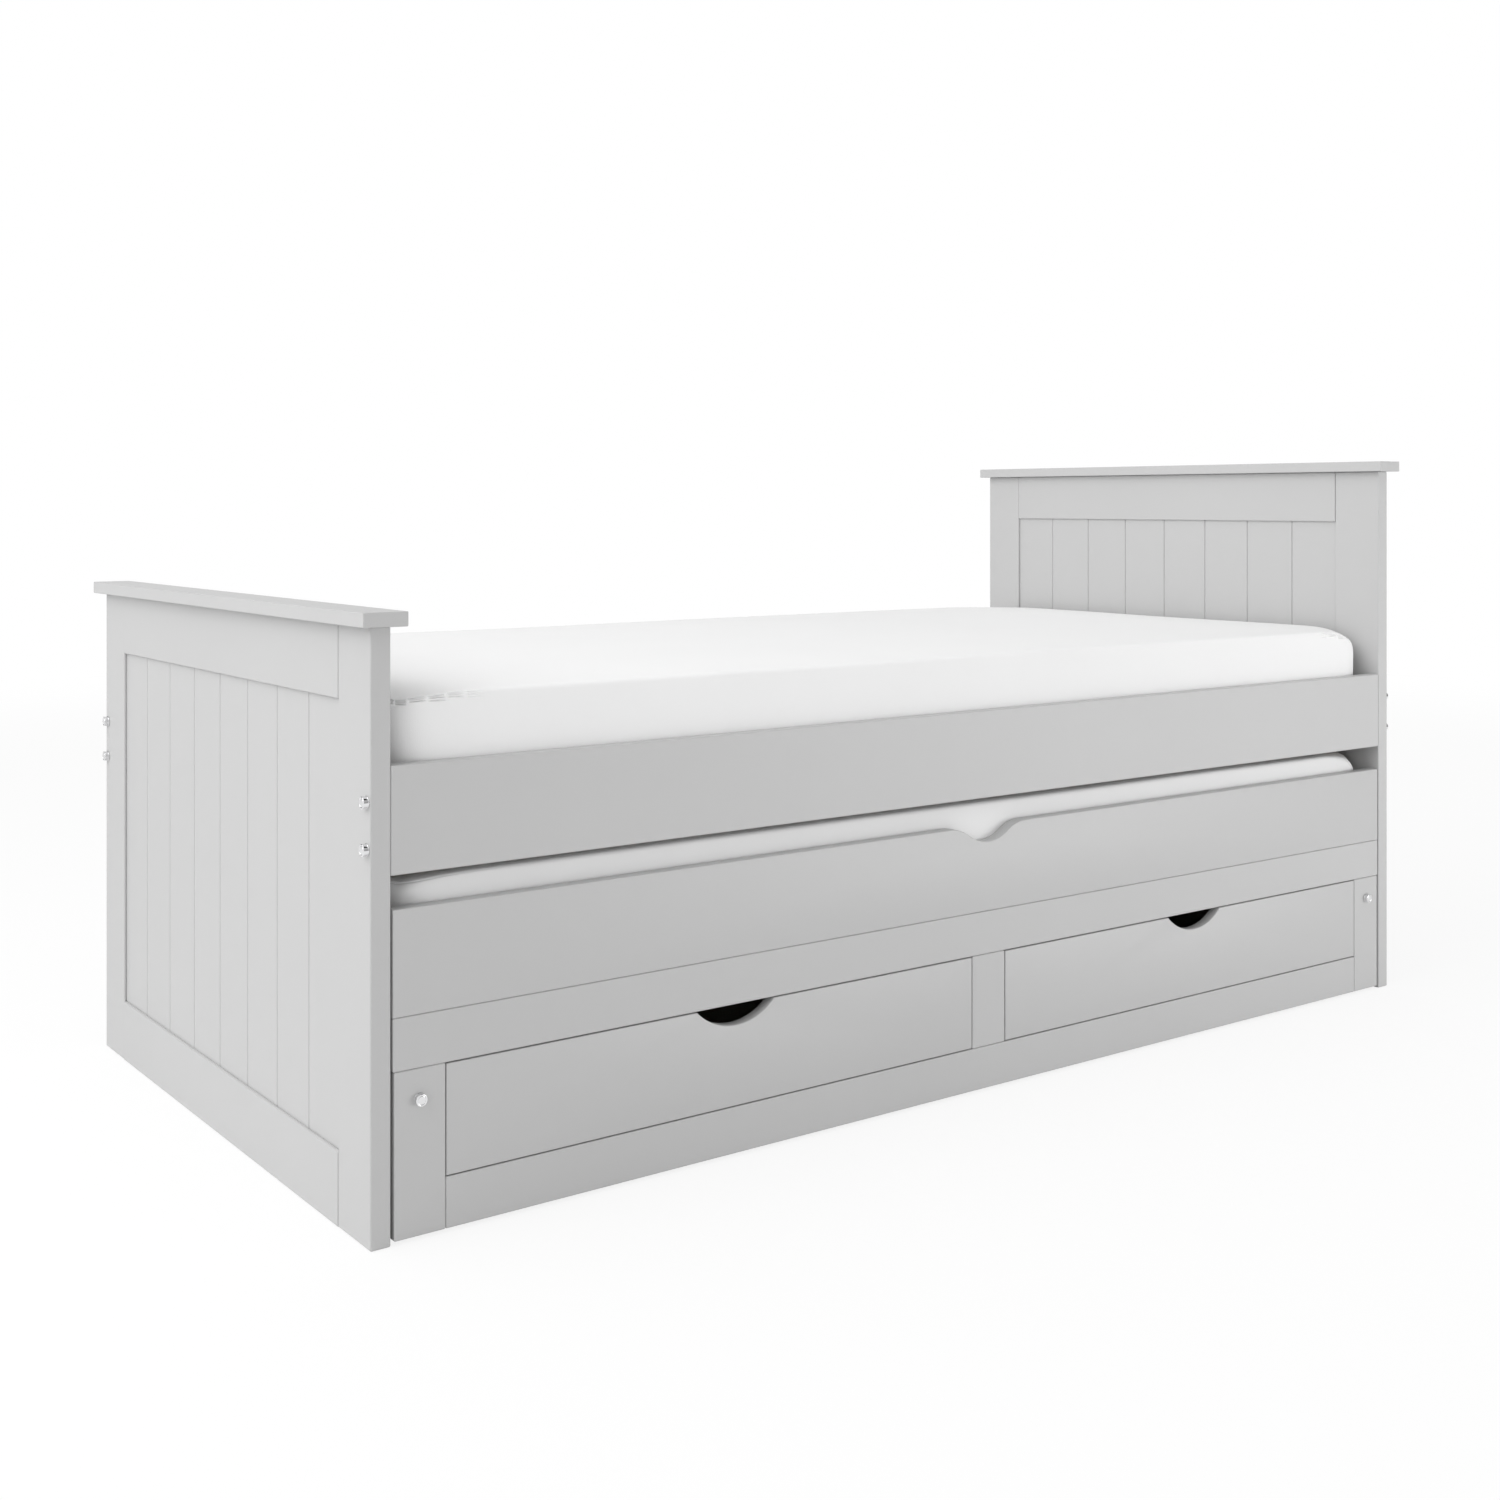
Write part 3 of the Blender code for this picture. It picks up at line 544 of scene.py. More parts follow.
def toned(name, color, roughness, drift_scale, drift, grain_scale, grain_height, coarse=0.3, metallic=0.0):
    """Material whose colour and roughness drift softly and whose surface has a fine grain."""
    mat, tree, shader = new_material(name)
    tone = place_group(tree, "tone_drift", color=color, scale=drift_scale, amount=drift,
                       roughness=roughness)
    lead_colour(tree, shader, tone)
    shader.inputs["Metallic"].default_value = metallic
    grain = place_group(tree, "fine_grain", scale=grain_scale, coarse=coarse)
    bump(tree, shader, grain.outputs["Height"], grain_height)
    return mat, tree, shader


def paint_material():
    paint = bpy.context.scene.bed_paint
    mat, _, shader = toned("satin_grey_paint", tuple(paint.color), roughness=paint.roughness,
                           drift_scale=2.3, drift=paint.mottle, grain_scale=700.0,
                           grain_height=paint.peel, coarse=1.2)
    shader.inputs["Specular IOR Level"].default_value = 0.35
    return mat


def pine_material(name, ring_scale):
    timber = bpy.context.scene.bed_timber
    mat, tree, shader = new_material(name)
    grain = place_group(tree, "timber_grain", early=tuple(timber.light), late=tuple(timber.dark),
                        ring_scale=ring_scale)
    lead_colour(tree, shader, grain)
    bump(tree, shader, grain.outputs["Height"], distance=0.00015)
    return mat


def ticking_material():
    mattress = bpy.context.scene.bed_mattress
    mat, tree, shader = new_material("knitted_ticking")
    tone = place_group(tree, "tone_drift", color=tuple(mattress.color), scale=5.0, amount=0.015,
                       roughness=0.85)
    lead_colour(tree, shader, tone)
    shader.inputs["Sheen Weight"].default_value = 0.15
    shader.inputs["Sheen Roughness"].default_value = 0.4
    weave = place_group(tree, "thread_weave", pitch=0.0016, loose=0.5)
    bump(tree, shader, weave.outputs["Height"], distance=0.00025, strength=0.6)
    return mat


def tape_material():
    fittings = bpy.context.scene.bed_fittings
    mat, tree, shader = new_material("woven_tape")
    tone = place_group(tree, "tone_drift", color=tuple(fittings.tape), scale=40.0, amount=0.06,
                       roughness=0.8)
    lead_colour(tree, shader, tone)
    weave = place_group(tree, "thread_weave", pitch=0.0022, loose=0.3)
    bump(tree, shader, weave.outputs["Height"], distance=0.0004, strength=0.9)
    return mat


def zinc_material():
    """Dull plating of the cross dowels and the castor brackets, made once."""
    made = bpy.data.materials.get("zinc_plate")
    if made:
        return made
    zinc = tuple(bpy.context.scene.bed_fittings.zinc)
    return toned("zinc_plate", zinc, roughness=0.36, drift_scale=60.0, drift=0.16, grain_scale=1200.0,
                 grain_height=0.00002, metallic=1.0)[0]


# ---- painted boards ----------------------------------------------------------------------
def dress_board(node, material, edge):
    """A frame board keeps its shape; its flat faces are rejoined and its eased edges rounded."""
    obj = NODES[node]
    obj.data.materials.clear()
    obj.data.materials.append(material)
    weld = obj.modifiers.new("weld", "WELD")
    weld.merge_threshold = 0.00001
    flat = obj.modifiers.new("rejoin_flats", "DECIMATE")
    flat.decimate_type = "DISSOLVE"
    flat.angle_limit = math.radians(0.5)
    soften = obj.modifiers.new("soften", "BEVEL")
    soften.width = edge
    soften.segments = 2
    soften.limit_method = "ANGLE"
    soften.angle_limit = math.radians(30.0)


def notched_top(half_width, depth, top, steps=24):
    """Right half of an S-sided notch: two equal arcs, tangent to its floor and to the top edge."""
    radius = ((half_width / 2) ** 2 + (depth / 2) ** 2) / depth
    sweep = math.asin(half_width / 2 / radius)
    right = list(arc((0.0, top - depth + radius), radius, -math.pi / 2, -math.pi / 2 + sweep, steps))
    return right + list(arc((half_width, top - radius), radius, math.pi / 2 + sweep, math.pi / 2, steps))[1:]


def front_matrix(low, high):
    """Places an XZ outline in the middle of a board's thickness."""
    return Matrix.Translation((0.0, (low.y + high.y) / 2, 0.0)) @ Matrix.Rotation(math.pi / 2, 4, "X")


def notched_board(name, node, notch, body, material):
    """A board in the place of a node, with a notch in its top edge, given from right to left."""
    low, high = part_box(node)
    points = [(low.x, low.z), (high.x, low.z), (high.x, high.z), *notch, (low.x, high.z)]
    edge = bpy.context.scene.bed_paint.notch_edge
    mesh = outline_mesh(name, points, high.y - low.y, edge, front_matrix(low, high))
    finish_piece(new_object(name, mesh), body, material, [node])


def guest_bed_panel(material):
    """The guest bed's front panel with its S-sided finger notch."""
    paint = bpy.context.scene.bed_paint
    node = "trundle_front_panel"
    right = notched_top(paint.panel_notch_width / 2, paint.panel_notch_depth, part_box(node)[1].z)
    left = [(-x, z) for x, z in reversed(right)][:-1]
    notched_board("guest_bed_panel", node, right[::-1] + left[::-1], "trundle", material)


def drawer_front(side, material):
    """A drawer's front with its round finger notch."""
    paint = bpy.context.scene.bed_paint
    node = f"{side}_drawer_front"
    low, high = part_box(node)
    half_width, depth = paint.drawer_notch_width / 2, paint.drawer_notch_depth
    radius = (half_width ** 2 + depth ** 2) / (2 * depth)
    half_angle = math.asin(half_width / radius)
    centre = ((low.x + high.x) / 2, high.z - depth + radius)
    notch = list(arc(centre, radius, -math.pi / 2 + half_angle, -math.pi / 2 - half_angle, 40))
    notched_board(f"{side}_drawer_facia", node, notch, f"{side}_drawer", material)


class TRUNDLEBED_OT_paint(bpy.types.Operator):
    """Paint the boards, round their edges and make the notched fronts"""
    bl_idname = "trundlebed.paint"
    bl_label = "Painted boards"

    def execute(self, context):
        material = paint_material()
        edge = context.scene.bed_paint.edge
        rows = frame["record"]["subparts"]
        painted = {row["node"] for row in rows if row["material_slot"] == "painted_board"}
        notched = {"trundle_front_panel", "left_drawer_front", "right_drawer_front"}
        for node in sorted(painted - notched):
            dress_board(node, material, edge)
        guest_bed_panel(material)
        for side in ("left", "right"):
            drawer_front(side, material)
        return {"FINISHED"}


# ---- slats, runners and drawer boxes -----------------------------------------------------
def slat_roll(base, body, count, pine, tape):
    """Separate slats with rounded edges, on two woven tapes that hold their spacing."""
    timber = bpy.context.scene.bed_timber
    low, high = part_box(base)
    half = timber.slat_width / 2
    under = high.z - timber.slat_thickness
    first, last = low.x + half, high.x - half
    slats = bmesh.new()
    for n in range(count):
        x = first + (last - first) * n / (count - 1)
        rounded_block(slats, (x - half, low.y, under), (x + half, high.y, high.z), timber.slat_edge)
    piece = new_object(f"{base}_slats", mesh_from(slats, f"{base}_slats"))
    finish_piece(piece, body, pine, [base])

    tapes = bmesh.new()
    for middle in (low.y + timber.tape_inset, high.y - timber.tape_inset):
        woven_tape(tapes, (first, last), middle, timber.tape_width, under)
    ribbon = new_object(f"{base}_tapes", mesh_from(tapes, f"{base}_tapes"))
    finish_piece(ribbon, body, tape)


def woven_tape(bm, x_range, middle, width, under, thickness=0.0009):
    """A ribbon with thickness under the slats, sagging a little all along."""
    rows = []
    for n in range(TAPE_STEPS + 1):
        t = n / TAPE_STEPS
        x = x_range[0] + (x_range[1] - x_range[0]) * t
        sag = TAPE_SAG * (1 - math.cos(2 * math.pi * t * TAPE_SAGS)) / 2
        top = under - TAPE_CLEARANCE - sag
        rows.append([bm.verts.new((x, middle + side * width / 2, top - drop))
                     for side, drop in ((-1, 0.0), (1, 0.0), (1, thickness), (-1, thickness))])
    for here, there in zip(rows, rows[1:]):
        for n in range(4):
            m = (n + 1) % 4
            bm.faces.new((here[n], here[m], there[m], there[n]))
    bm.faces.new(rows[0][::-1])
    bm.faces.new(rows[-1])


class TRUNDLEBED_OT_timber(bpy.types.Operator):
    """Make the slats and their tapes, and finish the runners and drawer boxes"""
    bl_idname = "trundlebed.timber"
    bl_label = "Slats, runners and drawer boxes"

    def execute(self, context):
        timber = context.scene.bed_timber
        pine = pine_material("planed_pine", ring_scale=22.0)
        runner_pine = pine_material("runner_pine", ring_scale=35.0)
        tape = tape_material()
        slat_roll("upper_slat_base", "root", timber.upper_slats, pine, tape)
        slat_roll("trundle_slat_base", "trundle", timber.guest_slats, pine, tape)
        for place in ("left", "centre", "right"):
            dress_board(f"{place}_drawer_runner", runner_pine, edge=0.0008)
        foil, _, _ = toned("drawer_foil", tuple(timber.board), roughness=0.55, drift_scale=6.0, drift=0.05,
                           grain_scale=500.0, grain_height=0.00005, coarse=0.6)
        for side in ("left", "right"):
            for part in ("inner_side", "outer_side", "back", "bottom"):
                dress_board(f"{side}_drawer_{part}", foil, edge=0.0003)
        return {"FINISHED"}


# ---- mattresses --------------------------------------------------------------------------
def spread(t, gather):
    """Map 0..1 onto itself, gathering steps of equal size towards both ends."""
    return t - gather * math.sin(2 * math.pi * t) / (2 * math.pi)


def gridded_box(bm, low, high, cuts, gather):
    """Box with a grid of quads on all six sides, finer towards its edges."""
    bmesh.ops.create_cube(bm, size=1.0)
    for axis in range(3):
        along = [edge for edge in bm.edges
                 if abs(edge.verts[0].co[axis] - edge.verts[1].co[axis]) > 0.5]
        bmesh.ops.subdivide_edges(bm, edges=along, cuts=cuts[axis], use_grid_fill=True)
    for vert in bm.verts:
        for axis in range(3):
            t = spread(vert.co[axis] + 0.5, gather[axis])
            vert.co[axis] = low[axis] + (high[axis] - low[axis]) * t


def measure_cover(bm, low, high):
    """Note each point's way from the top seam (up is +) and from the nearest corner (an end is -)."""
    seam = bm.verts.layers.float.new("seam")
    corner = bm.verts.layers.float.new("corner")
    centre, half = (low + high) / 2, (high - low) / 2
    for vert in bm.verts:
        gap_x = half.x - abs(vert.co.x - centre.x)
        gap_y = half.y - abs(vert.co.y - centre.y)
        below = high.z - vert.co.z
        underside = vert.co.z - low.z < SEAM_TOLERANCE
        vert[seam] = -below if underside else min(gap_x, gap_y) - below
        vert[corner] = gap_x if gap_y <= gap_x else -gap_y


def rounded_point(co, low, high, corner, shoulder):
    """Move a point of a box's surface onto the box with round corners in plan and round shoulders."""
    centre, half = (low + high) / 2, (high - low) / 2
    plan = Vector((co.x - centre.x, co.y - centre.y))
    core = Vector([max(-(half[n] - corner), min(half[n] - corner, plan[n])) for n in (0, 1)])
    offset = plan - core
    level = max(abs(offset.x), abs(offset.y))
    outward = offset.normalized() if level > 0.0 else offset
    reach = max(0.0, level - (corner - shoulder))
    rise = abs(co.z - centre.z)
    height = max(0.0, rise - (half.z - shoulder))
    if reach > 0.0 and height > 0.0:
        shrink = max(reach, height) / math.hypot(reach, height)
        level += reach * (shrink - 1.0)
        rise += height * (shrink - 1.0)
    plan = core + outward * level
    z = centre.z + math.copysign(rise, co.z - centre.z)
    return Vector((centre.x + plan.x, centre.y + plan.y, z))


def mattress_blank(name, low, high, settings):
    """The cover before it is filled, its two seams in a vertex group."""
    bm = bmesh.new()
    gridded_box(bm, low, high, settings.cuts, COVER_GATHER)
    measure_cover(bm, low, high)
    seams = [vert.index for vert in bm.verts if on_seam(vert.co, low, high)]
    corner = bm.verts.layers.float["corner"]
    middle = (low.x + high.x) / 2
    for vert in bm.verts:
        near = max(0.0, 1.0 - abs(vert[corner]) / settings.droop_reach) ** 2
        at_corner = settings.head_shoulder if vert.co.x > middle else settings.foot_shoulder
        shoulder = settings.shoulder + (at_corner - settings.shoulder) * near
        vert.co = rounded_point(vert.co, low, high, settings.corner, shoulder)
    obj = new_object(name, mesh_from(bm, name))
    obj.vertex_groups.new(name="seams").add(seams, 1.0, "REPLACE")
    return obj


def on_seam(co, low, high):
    """Whether a point is on the top or bottom edge of a box."""
    at_side = any(min(co[n] - low[n], high[n] - co[n]) < SEAM_TOLERANCE for n in (0, 1))
    return at_side and min(co.z - low.z, high.z - co.z) < SEAM_TOLERANCE


def inflate(obj, pressure, cap):
    """Fill the cover as weightless cloth held at its seams, and limit how far a point moves."""
    before = [vertex.co.copy() for vertex in obj.data.vertices]
    cloth = obj.modifiers.new("cover", "CLOTH")
    cloth.settings.use_pressure = True
    cloth.settings.uniform_pressure_force = pressure
    cloth.settings.vertex_group_mass = "seams"
    cloth.settings.quality = 5
    cloth.settings.mass = 0.3
    cloth.settings.tension_stiffness = 18.0
    cloth.settings.compression_stiffness = 18.0
    cloth.settings.shear_stiffness = 8.0
    cloth.settings.bending_stiffness = 2.0
    cloth.settings.effector_weights.gravity = 0.0
    cloth.collision_settings.use_collision = False
    cloth.point_cache.frame_start = 1
    cloth.point_cache.frame_end = CLOTH_FRAMES
    for number in range(1, CLOTH_FRAMES + 1):
        bpy.context.scene.frame_set(number)
    apply_modifiers(obj)
    bpy.context.scene.frame_set(1)
    for vertex, start in zip(obj.data.vertices, before):
        move = vertex.co - start
        move.z *= CORE_HOLD
        if move.length > cap:
            move = move.normalized() * cap
        vertex.co = start + move


def fit_to_box(mesh, low, high):
    """Stretch a mesh so that it just fills a box."""
    points = [vertex.co for vertex in mesh.vertices]
    for axis in range(3):
        least, most = min(p[axis] for p in points), max(p[axis] for p in points)
        scale = (high[axis] - low[axis]) / (most - least)
        for p in points:
            p[axis] = low[axis] + (p[axis] - least) * scale


def droop_corners(mesh, low, high, settings):
    """Pull the four top corners down, as a filled cover's are, and leave the top slightly uneven."""
    centre, half = (low + high) / 2, (high - low) / 2
    for vertex in mesh.vertices:
        co = vertex.co
        away = math.hypot(half.x - abs(co.x - centre.x), half.y - abs(co.y - centre.y))
        near = max(0.0, 1.0 - away / settings.droop_reach)
        droop = settings.head_droop if co.x > centre.x else settings.foot_droop
        share = (co.z - low.z) / (high.z - low.z)
        lift = max(0.0, share - DROOP_START) / (1.0 - DROOP_START)
        co.z -= droop * near ** 2 * lift
        wave = noise.noise(Vector([co[n] * WAVE_SCALE[n] for n in range(3)]))
        co.z += UNEVENNESS * wave * lift


def hump(distance, width):
    """A smooth hump of height 1 that has all but gone at twice its width."""
    return math.exp(-(distance / width) ** 2)


def crease_depth(along, height, run, depth):
    """Groups of three short creases that follow the seam and fade away from the corner."""
    end_run = 0.6 * run
    if not -end_run < along < run:
        return 0.0
    number = math.floor(along / CREASE_GROUP)
    place = along / CREASE_GROUP - number
    window = max(0.0, math.sin(math.pi * min(1.0, place / CREASE_FILL))) ** 0.5
    fade = 1.0 - max(0.0, along / run) ** 3
    stagger = (number % 2 - 0.5) * CREASE_PITCH * CREASE_STAGGER
    level = stagger - (place - 0.5) * CREASE_SLANT - CREASE_PITCH
    lines = sum(hump(height - level - n * CREASE_PITCH, CREASE_WIDTH) for n in (-1, 0, 1))
    return depth * window * fade * lines


def sew_border(obj, settings, creased):
    """Sew the top to the border: a fine seam all round, and beside each corner a hollow and creases."""
    bm = bmesh.new()
    bm.from_mesh(obj.data)
    seam = bm.verts.layers.float["seam"]
    corner = bm.verts.layers.float["corner"]
    run = settings.crease_run
    fine_start, fine_end = -0.7 * run, 1.1 * run
    plain_share = 0.4                       # share of the seam's depth that it has far from a corner
    for cuts, band in FINE_BANDS:
        fine = [edge for edge in bm.edges
                if all(fine_start < v[corner] < fine_end and abs(v[seam]) < band for v in edge.verts)]
        bmesh.ops.subdivide_edges(bm, edges=fine, cuts=cuts, use_grid_fill=True)
    bm.normal_update()
    moves = []
    for vert in bm.verts:
        height, along = vert[seam], vert[corner]
        if abs(height) > SEWN_BAND:
            continue
        closeness = hump(along, 0.5 * run)
        seam_share = plain_share + (1.0 - plain_share) * closeness
        depth = settings.seam_depth * seam_share * hump(height, SEAM_WIDTH)
        if creased:
            depth += crease_depth(along, height, run, settings.crease)
            depth += settings.hollow * closeness * hump(height - HOLLOW_WIDTH, HOLLOW_WIDTH)
        moves.append((vert, vert.normal * -depth))
    for vert, move in moves:
        vert.co += move
    old, obj.data = obj.data, mesh_from(bm, obj.name, crease=math.radians(80.0))
    bpy.data.meshes.remove(old)


def make_mattress(name, node, body, material, creased, head_swell):
    """A padded cover in the place of a node, filled, drooped and sewn."""
    settings = bpy.context.scene.bed_mattress
    low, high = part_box(node)
    pad = mattress_blank(name, low, high, settings)
    inflate(pad, settings.pressure, settings.swell)
    subdivide = pad.modifiers.new("smooth_cover", "SUBSURF")
    subdivide.levels = subdivide.render_levels = 1
    apply_modifiers(pad)
    foot = Vector((settings.foot_swell, settings.side_swell, 0.0))
    head = Vector((head_swell, settings.side_swell, settings.crown))
    fit_to_box(pad.data, low - foot, high + head)
    droop_corners(pad.data, low, high, settings)
    sew_border(pad, settings, creased)
    finish_piece(pad, body, material, [node])


class TRUNDLEBED_OT_mattresses(bpy.types.Operator):
    """Make both mattresses as inflated covers with a sewn border"""
    bl_idname = "trundlebed.mattresses"
    bl_label = "Mattresses"

    def execute(self, context):
        settings = context.scene.bed_mattress
        ticking = ticking_material()
        make_mattress("sleeping_mattress", "upper_mattress", "root", ticking, True, settings.head_swell)
        make_mattress("guest_mattress", "trundle_mattress", "trundle", ticking, False, settings.guest_swell)
        return {"FINISHED"}


# ---- bolts and cross dowels --------------------------------------------------------------
def axis_matrix(origin, direction):
    """Places local Z along a direction."""
    matrix = Vector(direction).to_track_quat("Z", "Y").to_matrix().to_4x4()
    matrix.translation = Vector(origin)
    return matrix


def connector_bolt(name, node, direction, body, material):
    """Flanged round-capped bolt with a rolled thread, its shank in the boards."""
    fittings = bpy.context.scene.bed_fittings
    low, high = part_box(node)
    direction = Vector(direction)
    length = abs((high - low).dot(direction))
    flange, flange_top, seat = (high.z - low.z) / 2, 0.0012, 0.0003
    cap, cap_r = fittings.cap_height, fittings.cap_radius
    groove, dish = cap - 0.0004, cap - 0.0001
    shank, shank_r = length - cap, 0.0030
    tip_r, root_r, turns, crest = 0.0024, 0.0025, 24, 0.45
    thread = [(-shank + 0.0006, tip_r)]
    for n in range(turns):
        foot = -shank + 0.0010 + n * fittings.pitch
        thread += [(foot, root_r), (foot + crest * fittings.pitch, shank_r)]
    head = rounded_profile([
        (shank_r, thread[-1][0] + fittings.pitch, 0.0),
        (shank_r, seat, 0.0),
        (flange, seat, 0.0002),
        (flange, flange_top, 0.0002),
        (cap_r, flange_top + 0.0002, 0.0001),
        (cap_r, cap, 0.0006),
        (cap_r * 0.74, cap, 0.0002),
        (cap_r * 0.72, groove, 0.0001),
        (cap_r * 0.66, groove, 0.0001),
        (cap_r * 0.64, dish, 0.0002),
        (0.0008, dish, 0.0),
    ])
    bm = bmesh.new()
    matrix = axis_matrix((low + high) / 2 + direction * (length / 2 - cap), direction)
    loft_rings(bm, thread + head, fittings.sides, matrix)
    piece = new_object(name, mesh_from(bm, name))
    finish_piece(piece, body, material, [node])


def cross_dowel(bm, centre, direction):
    """Barrel nut with a screwdriver slot in its visible end: two half-round lands round the slot."""
    length, radius, chamfer = 0.0135, 0.0048, 0.0004
    slot_width, slot_depth = 0.0012, 0.0014
    matrix = axis_matrix(centre, direction)
    rings = [(-length, radius - chamfer), (-length + chamfer, radius), (-slot_depth, radius)]
    loft_rings(bm, rings, 32, matrix)
    start = math.asin(slot_width / 2 / radius)
    rim = list(arc((0.0, 0.0), radius, start, math.pi - start, 14))
    for flip in (0.0, math.pi):
        turn = matrix @ Matrix.Rotation(flip, 4, "Z")
        loops = [[bm.verts.new(turn @ Vector((x, y, z))) for x, y in rim] for z in (-slot_depth, 0.0)]
        for n in range(len(rim)):
            m = (n + 1) % len(rim)
            bm.faces.new((loops[0][n], loops[0][m], loops[1][m], loops[1][n]))
        bm.faces.new(loops[0][::-1])
        bm.faces.new(loops[1])


class TRUNDLEBED_OT_bolts(bpy.types.Operator):
    """Make the connector bolts and the cross dowels they screw into"""
    bl_idname = "trundlebed.bolts"
    bl_label = "Bolts and cross dowels"

    def execute(self, context):
        chrome, _, _ = toned("bright_chrome", tuple(context.scene.bed_fittings.chrome), roughness=0.06,
                             drift_scale=90.0, drift=0.02, grain_scale=2500.0, grain_height=0.0000005,
                             metallic=1.0)
        rail_thickness = 0.020
        from_tip = 0.006                    # from a bolt's tip to the middle of its dowel
        recess = 0.0004                     # of a dowel's end in its board
        rail_face = abs(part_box("front_side_rail")[0].y) - rail_thickness
        rail_dowels, base_dowels = bmesh.new(), bmesh.new()
        for board, side in (("footboard", -1), ("headboard", 1)):
            for place, facing in (("front", -1), ("back", 1)):
                for level in ("lower", "upper"):
                    node = f"{board}_{place}_{level}_bolt"
                    connector_bolt(f"{board}_{place}_{level}_connector", node, (side, 0, 0), "root", chrome)
                    low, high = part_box(node)
                    tip_x = low.x if side > 0 else high.x
                    centre = (tip_x + side * from_tip, facing * (rail_face + recess), (low.z + high.z) / 2)
                    cross_dowel(rail_dowels, centre, (0, -facing, 0))
        for place, side in (("left", -1), ("right", 1)):
            node = f"trundle_{place}_stile_bolt"
            connector_bolt(f"guest_bed_{place}_connector", node, (0, -1, 0), "trundle", chrome)
            low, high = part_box(node)
            board_face = min(abs(corner.x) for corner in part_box(f"trundle_{place}_end_board"))
            centre = (side * (board_face + recess), high.y - from_tip, (low.z + high.z) / 2)
            cross_dowel(base_dowels, centre, (-side, 0, 0))
        for name, bm, body in (("rail_cross_dowels", rail_dowels, "root"),
                               ("base_cross_dowels", base_dowels, "trundle")):
            finish_piece(new_object(name, mesh_from(bm, name)), body, zinc_material())
        return {"FINISHED"}


# ---- castors -----------------------------------------------------------------------------
def castor_wheel(row, place, material):
    """Moulded wheel: hub, dished web with ribs, and a rounded tread."""
    node = f"{row}_{place}_castor_wheel"
    low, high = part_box(node)
    centre = (low + high) / 2
    half, radius = (high.x - low.x) / 2, (high.z - low.z) / 2
    bore, hub, web, rim = 0.0043, 0.0078, 0.0188, 0.0205
    web_face = half - 0.0030
    upper = rounded_profile([
        (bore, half, 0.0),
        (hub, half, 0.0004),
        (hub + 0.0008, web_face, 0.0008),
        (web, web_face, 0.0008),
        (rim, half - 0.0006, 0.0008),
        (radius - 0.0015, half - 0.0016, 0.0016),
        (radius, half - 0.0052, 0.0020),
        (radius, 0.0, 0.0),
    ])
    rings = upper + [(-z, r) for z, r in reversed(upper)][1:]
    bm = bmesh.new()
    matrix = axis_matrix(centre, (1, 0, 0))
    loft_rings(bm, rings, bpy.context.scene.bed_fittings.sides, matrix, closed=True)
    ribs, rib_half = 8, 0.0006
    rib_start, rib_end = hub + 0.0004, web + 0.0008
    for flip in (-1, 1):
        for n in range(ribs):
            turn = matrix @ Matrix.Rotation(2 * math.pi * n / ribs, 4, "Z")
            rib = bmesh.new()
            depth = sorted((flip * (web_face - 0.0004), flip * (web_face + 0.0018)))
            rounded_block(rib, (rib_start, -rib_half, depth[0]), (rib_end, rib_half, depth[1]), 0.0003, 1)
            rib.transform(turn)
            mesh = mesh_from(rib, "rib")
            bm.from_mesh(mesh)
            bpy.data.meshes.remove(mesh)
    name = f"{row}_{place}_nylon_wheel"
    wheel = new_object(name, mesh_from(bm, name))
    finish_piece(wheel, f"{row}_{place}_wheel", material, [node])


def castor_bracket(row, place, material):
    """Folded channel with bent corners and a riveted axle."""
    node = f"{row}_{place}_castor_bracket"
    low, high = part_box(node)
    sheet, bend, edge = 0.002, 0.0035, 0.0003
    middle = (low.x + high.x) / 2
    y = (low.y + high.y) / 2
    half = (high.x - low.x) / 2
    outer = list(arc((half - bend, high.z - bend), bend, 0.0, math.pi / 2, 6))
    inner = list(arc((half - bend, high.z - bend), bend - sheet, 0.0, math.pi / 2, 6))
    right = [(half, low.z)] + outer
    right_in = [(half - sheet, low.z)] + inner
    left = [(-x, z) for x, z in reversed(right)]
    left_in = [(-x, z) for x, z in right_in]
    across = Matrix.Translation((middle, y, 0.0)) @ Matrix.Rotation(math.pi / 2, 4, "X")
    section = right + left + left_in + right_in[::-1]
    mesh = outline_mesh(node + "_folded", section, high.y - low.y, edge, across)
    bm = bmesh.new()
    bm.from_mesh(mesh)
    bpy.data.meshes.remove(mesh)
    sides = bpy.context.scene.bed_fittings.sides
    axle_r, axle_end = 0.0040, half - 0.0006
    wheel_low, wheel_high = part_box(f"{row}_{place}_castor_wheel")
    axle_z = (wheel_low.z + wheel_high.z) / 2
    axle = axis_matrix((middle, y, axle_z), (1, 0, 0))
    loft_rings(bm, [(-axle_end, axle_r), (axle_end, axle_r)], sides, axle)
    inward = -1 if place == "right" else 1
    rivet = [(-0.0002, 0.0065), (0.0004, 0.0064), (0.0012, 0.0056), (0.0018, 0.0040), (0.0020, 0.0015)]
    rivet_x = middle + inward * (half - 0.0004)
    loft_rings(bm, rivet, 24, axis_matrix((rivet_x, y, axle_z), (inward, 0, 0)))
    name = f"{row}_{place}_castor_fork"
    finish_piece(new_object(name, mesh_from(bm, name)), "trundle", material, [node])


class TRUNDLEBED_OT_castors(bpy.types.Operator):
    """Make the castor wheels and their folded brackets"""
    bl_idname = "trundlebed.castors"
    bl_label = "Castors"

    def execute(self, context):
        fittings = context.scene.bed_fittings
        nylon, _, _ = toned("black_nylon", tuple(fittings.nylon), roughness=0.48, drift_scale=50.0,
                            drift=0.2, grain_scale=1600.0, grain_height=0.00003)
        for row in ("front", "back"):
            for place in ("left", "right"):
                castor_wheel(row, place, nylon)
                castor_bracket(row, place, zinc_material())
        return {"FINISHED"}


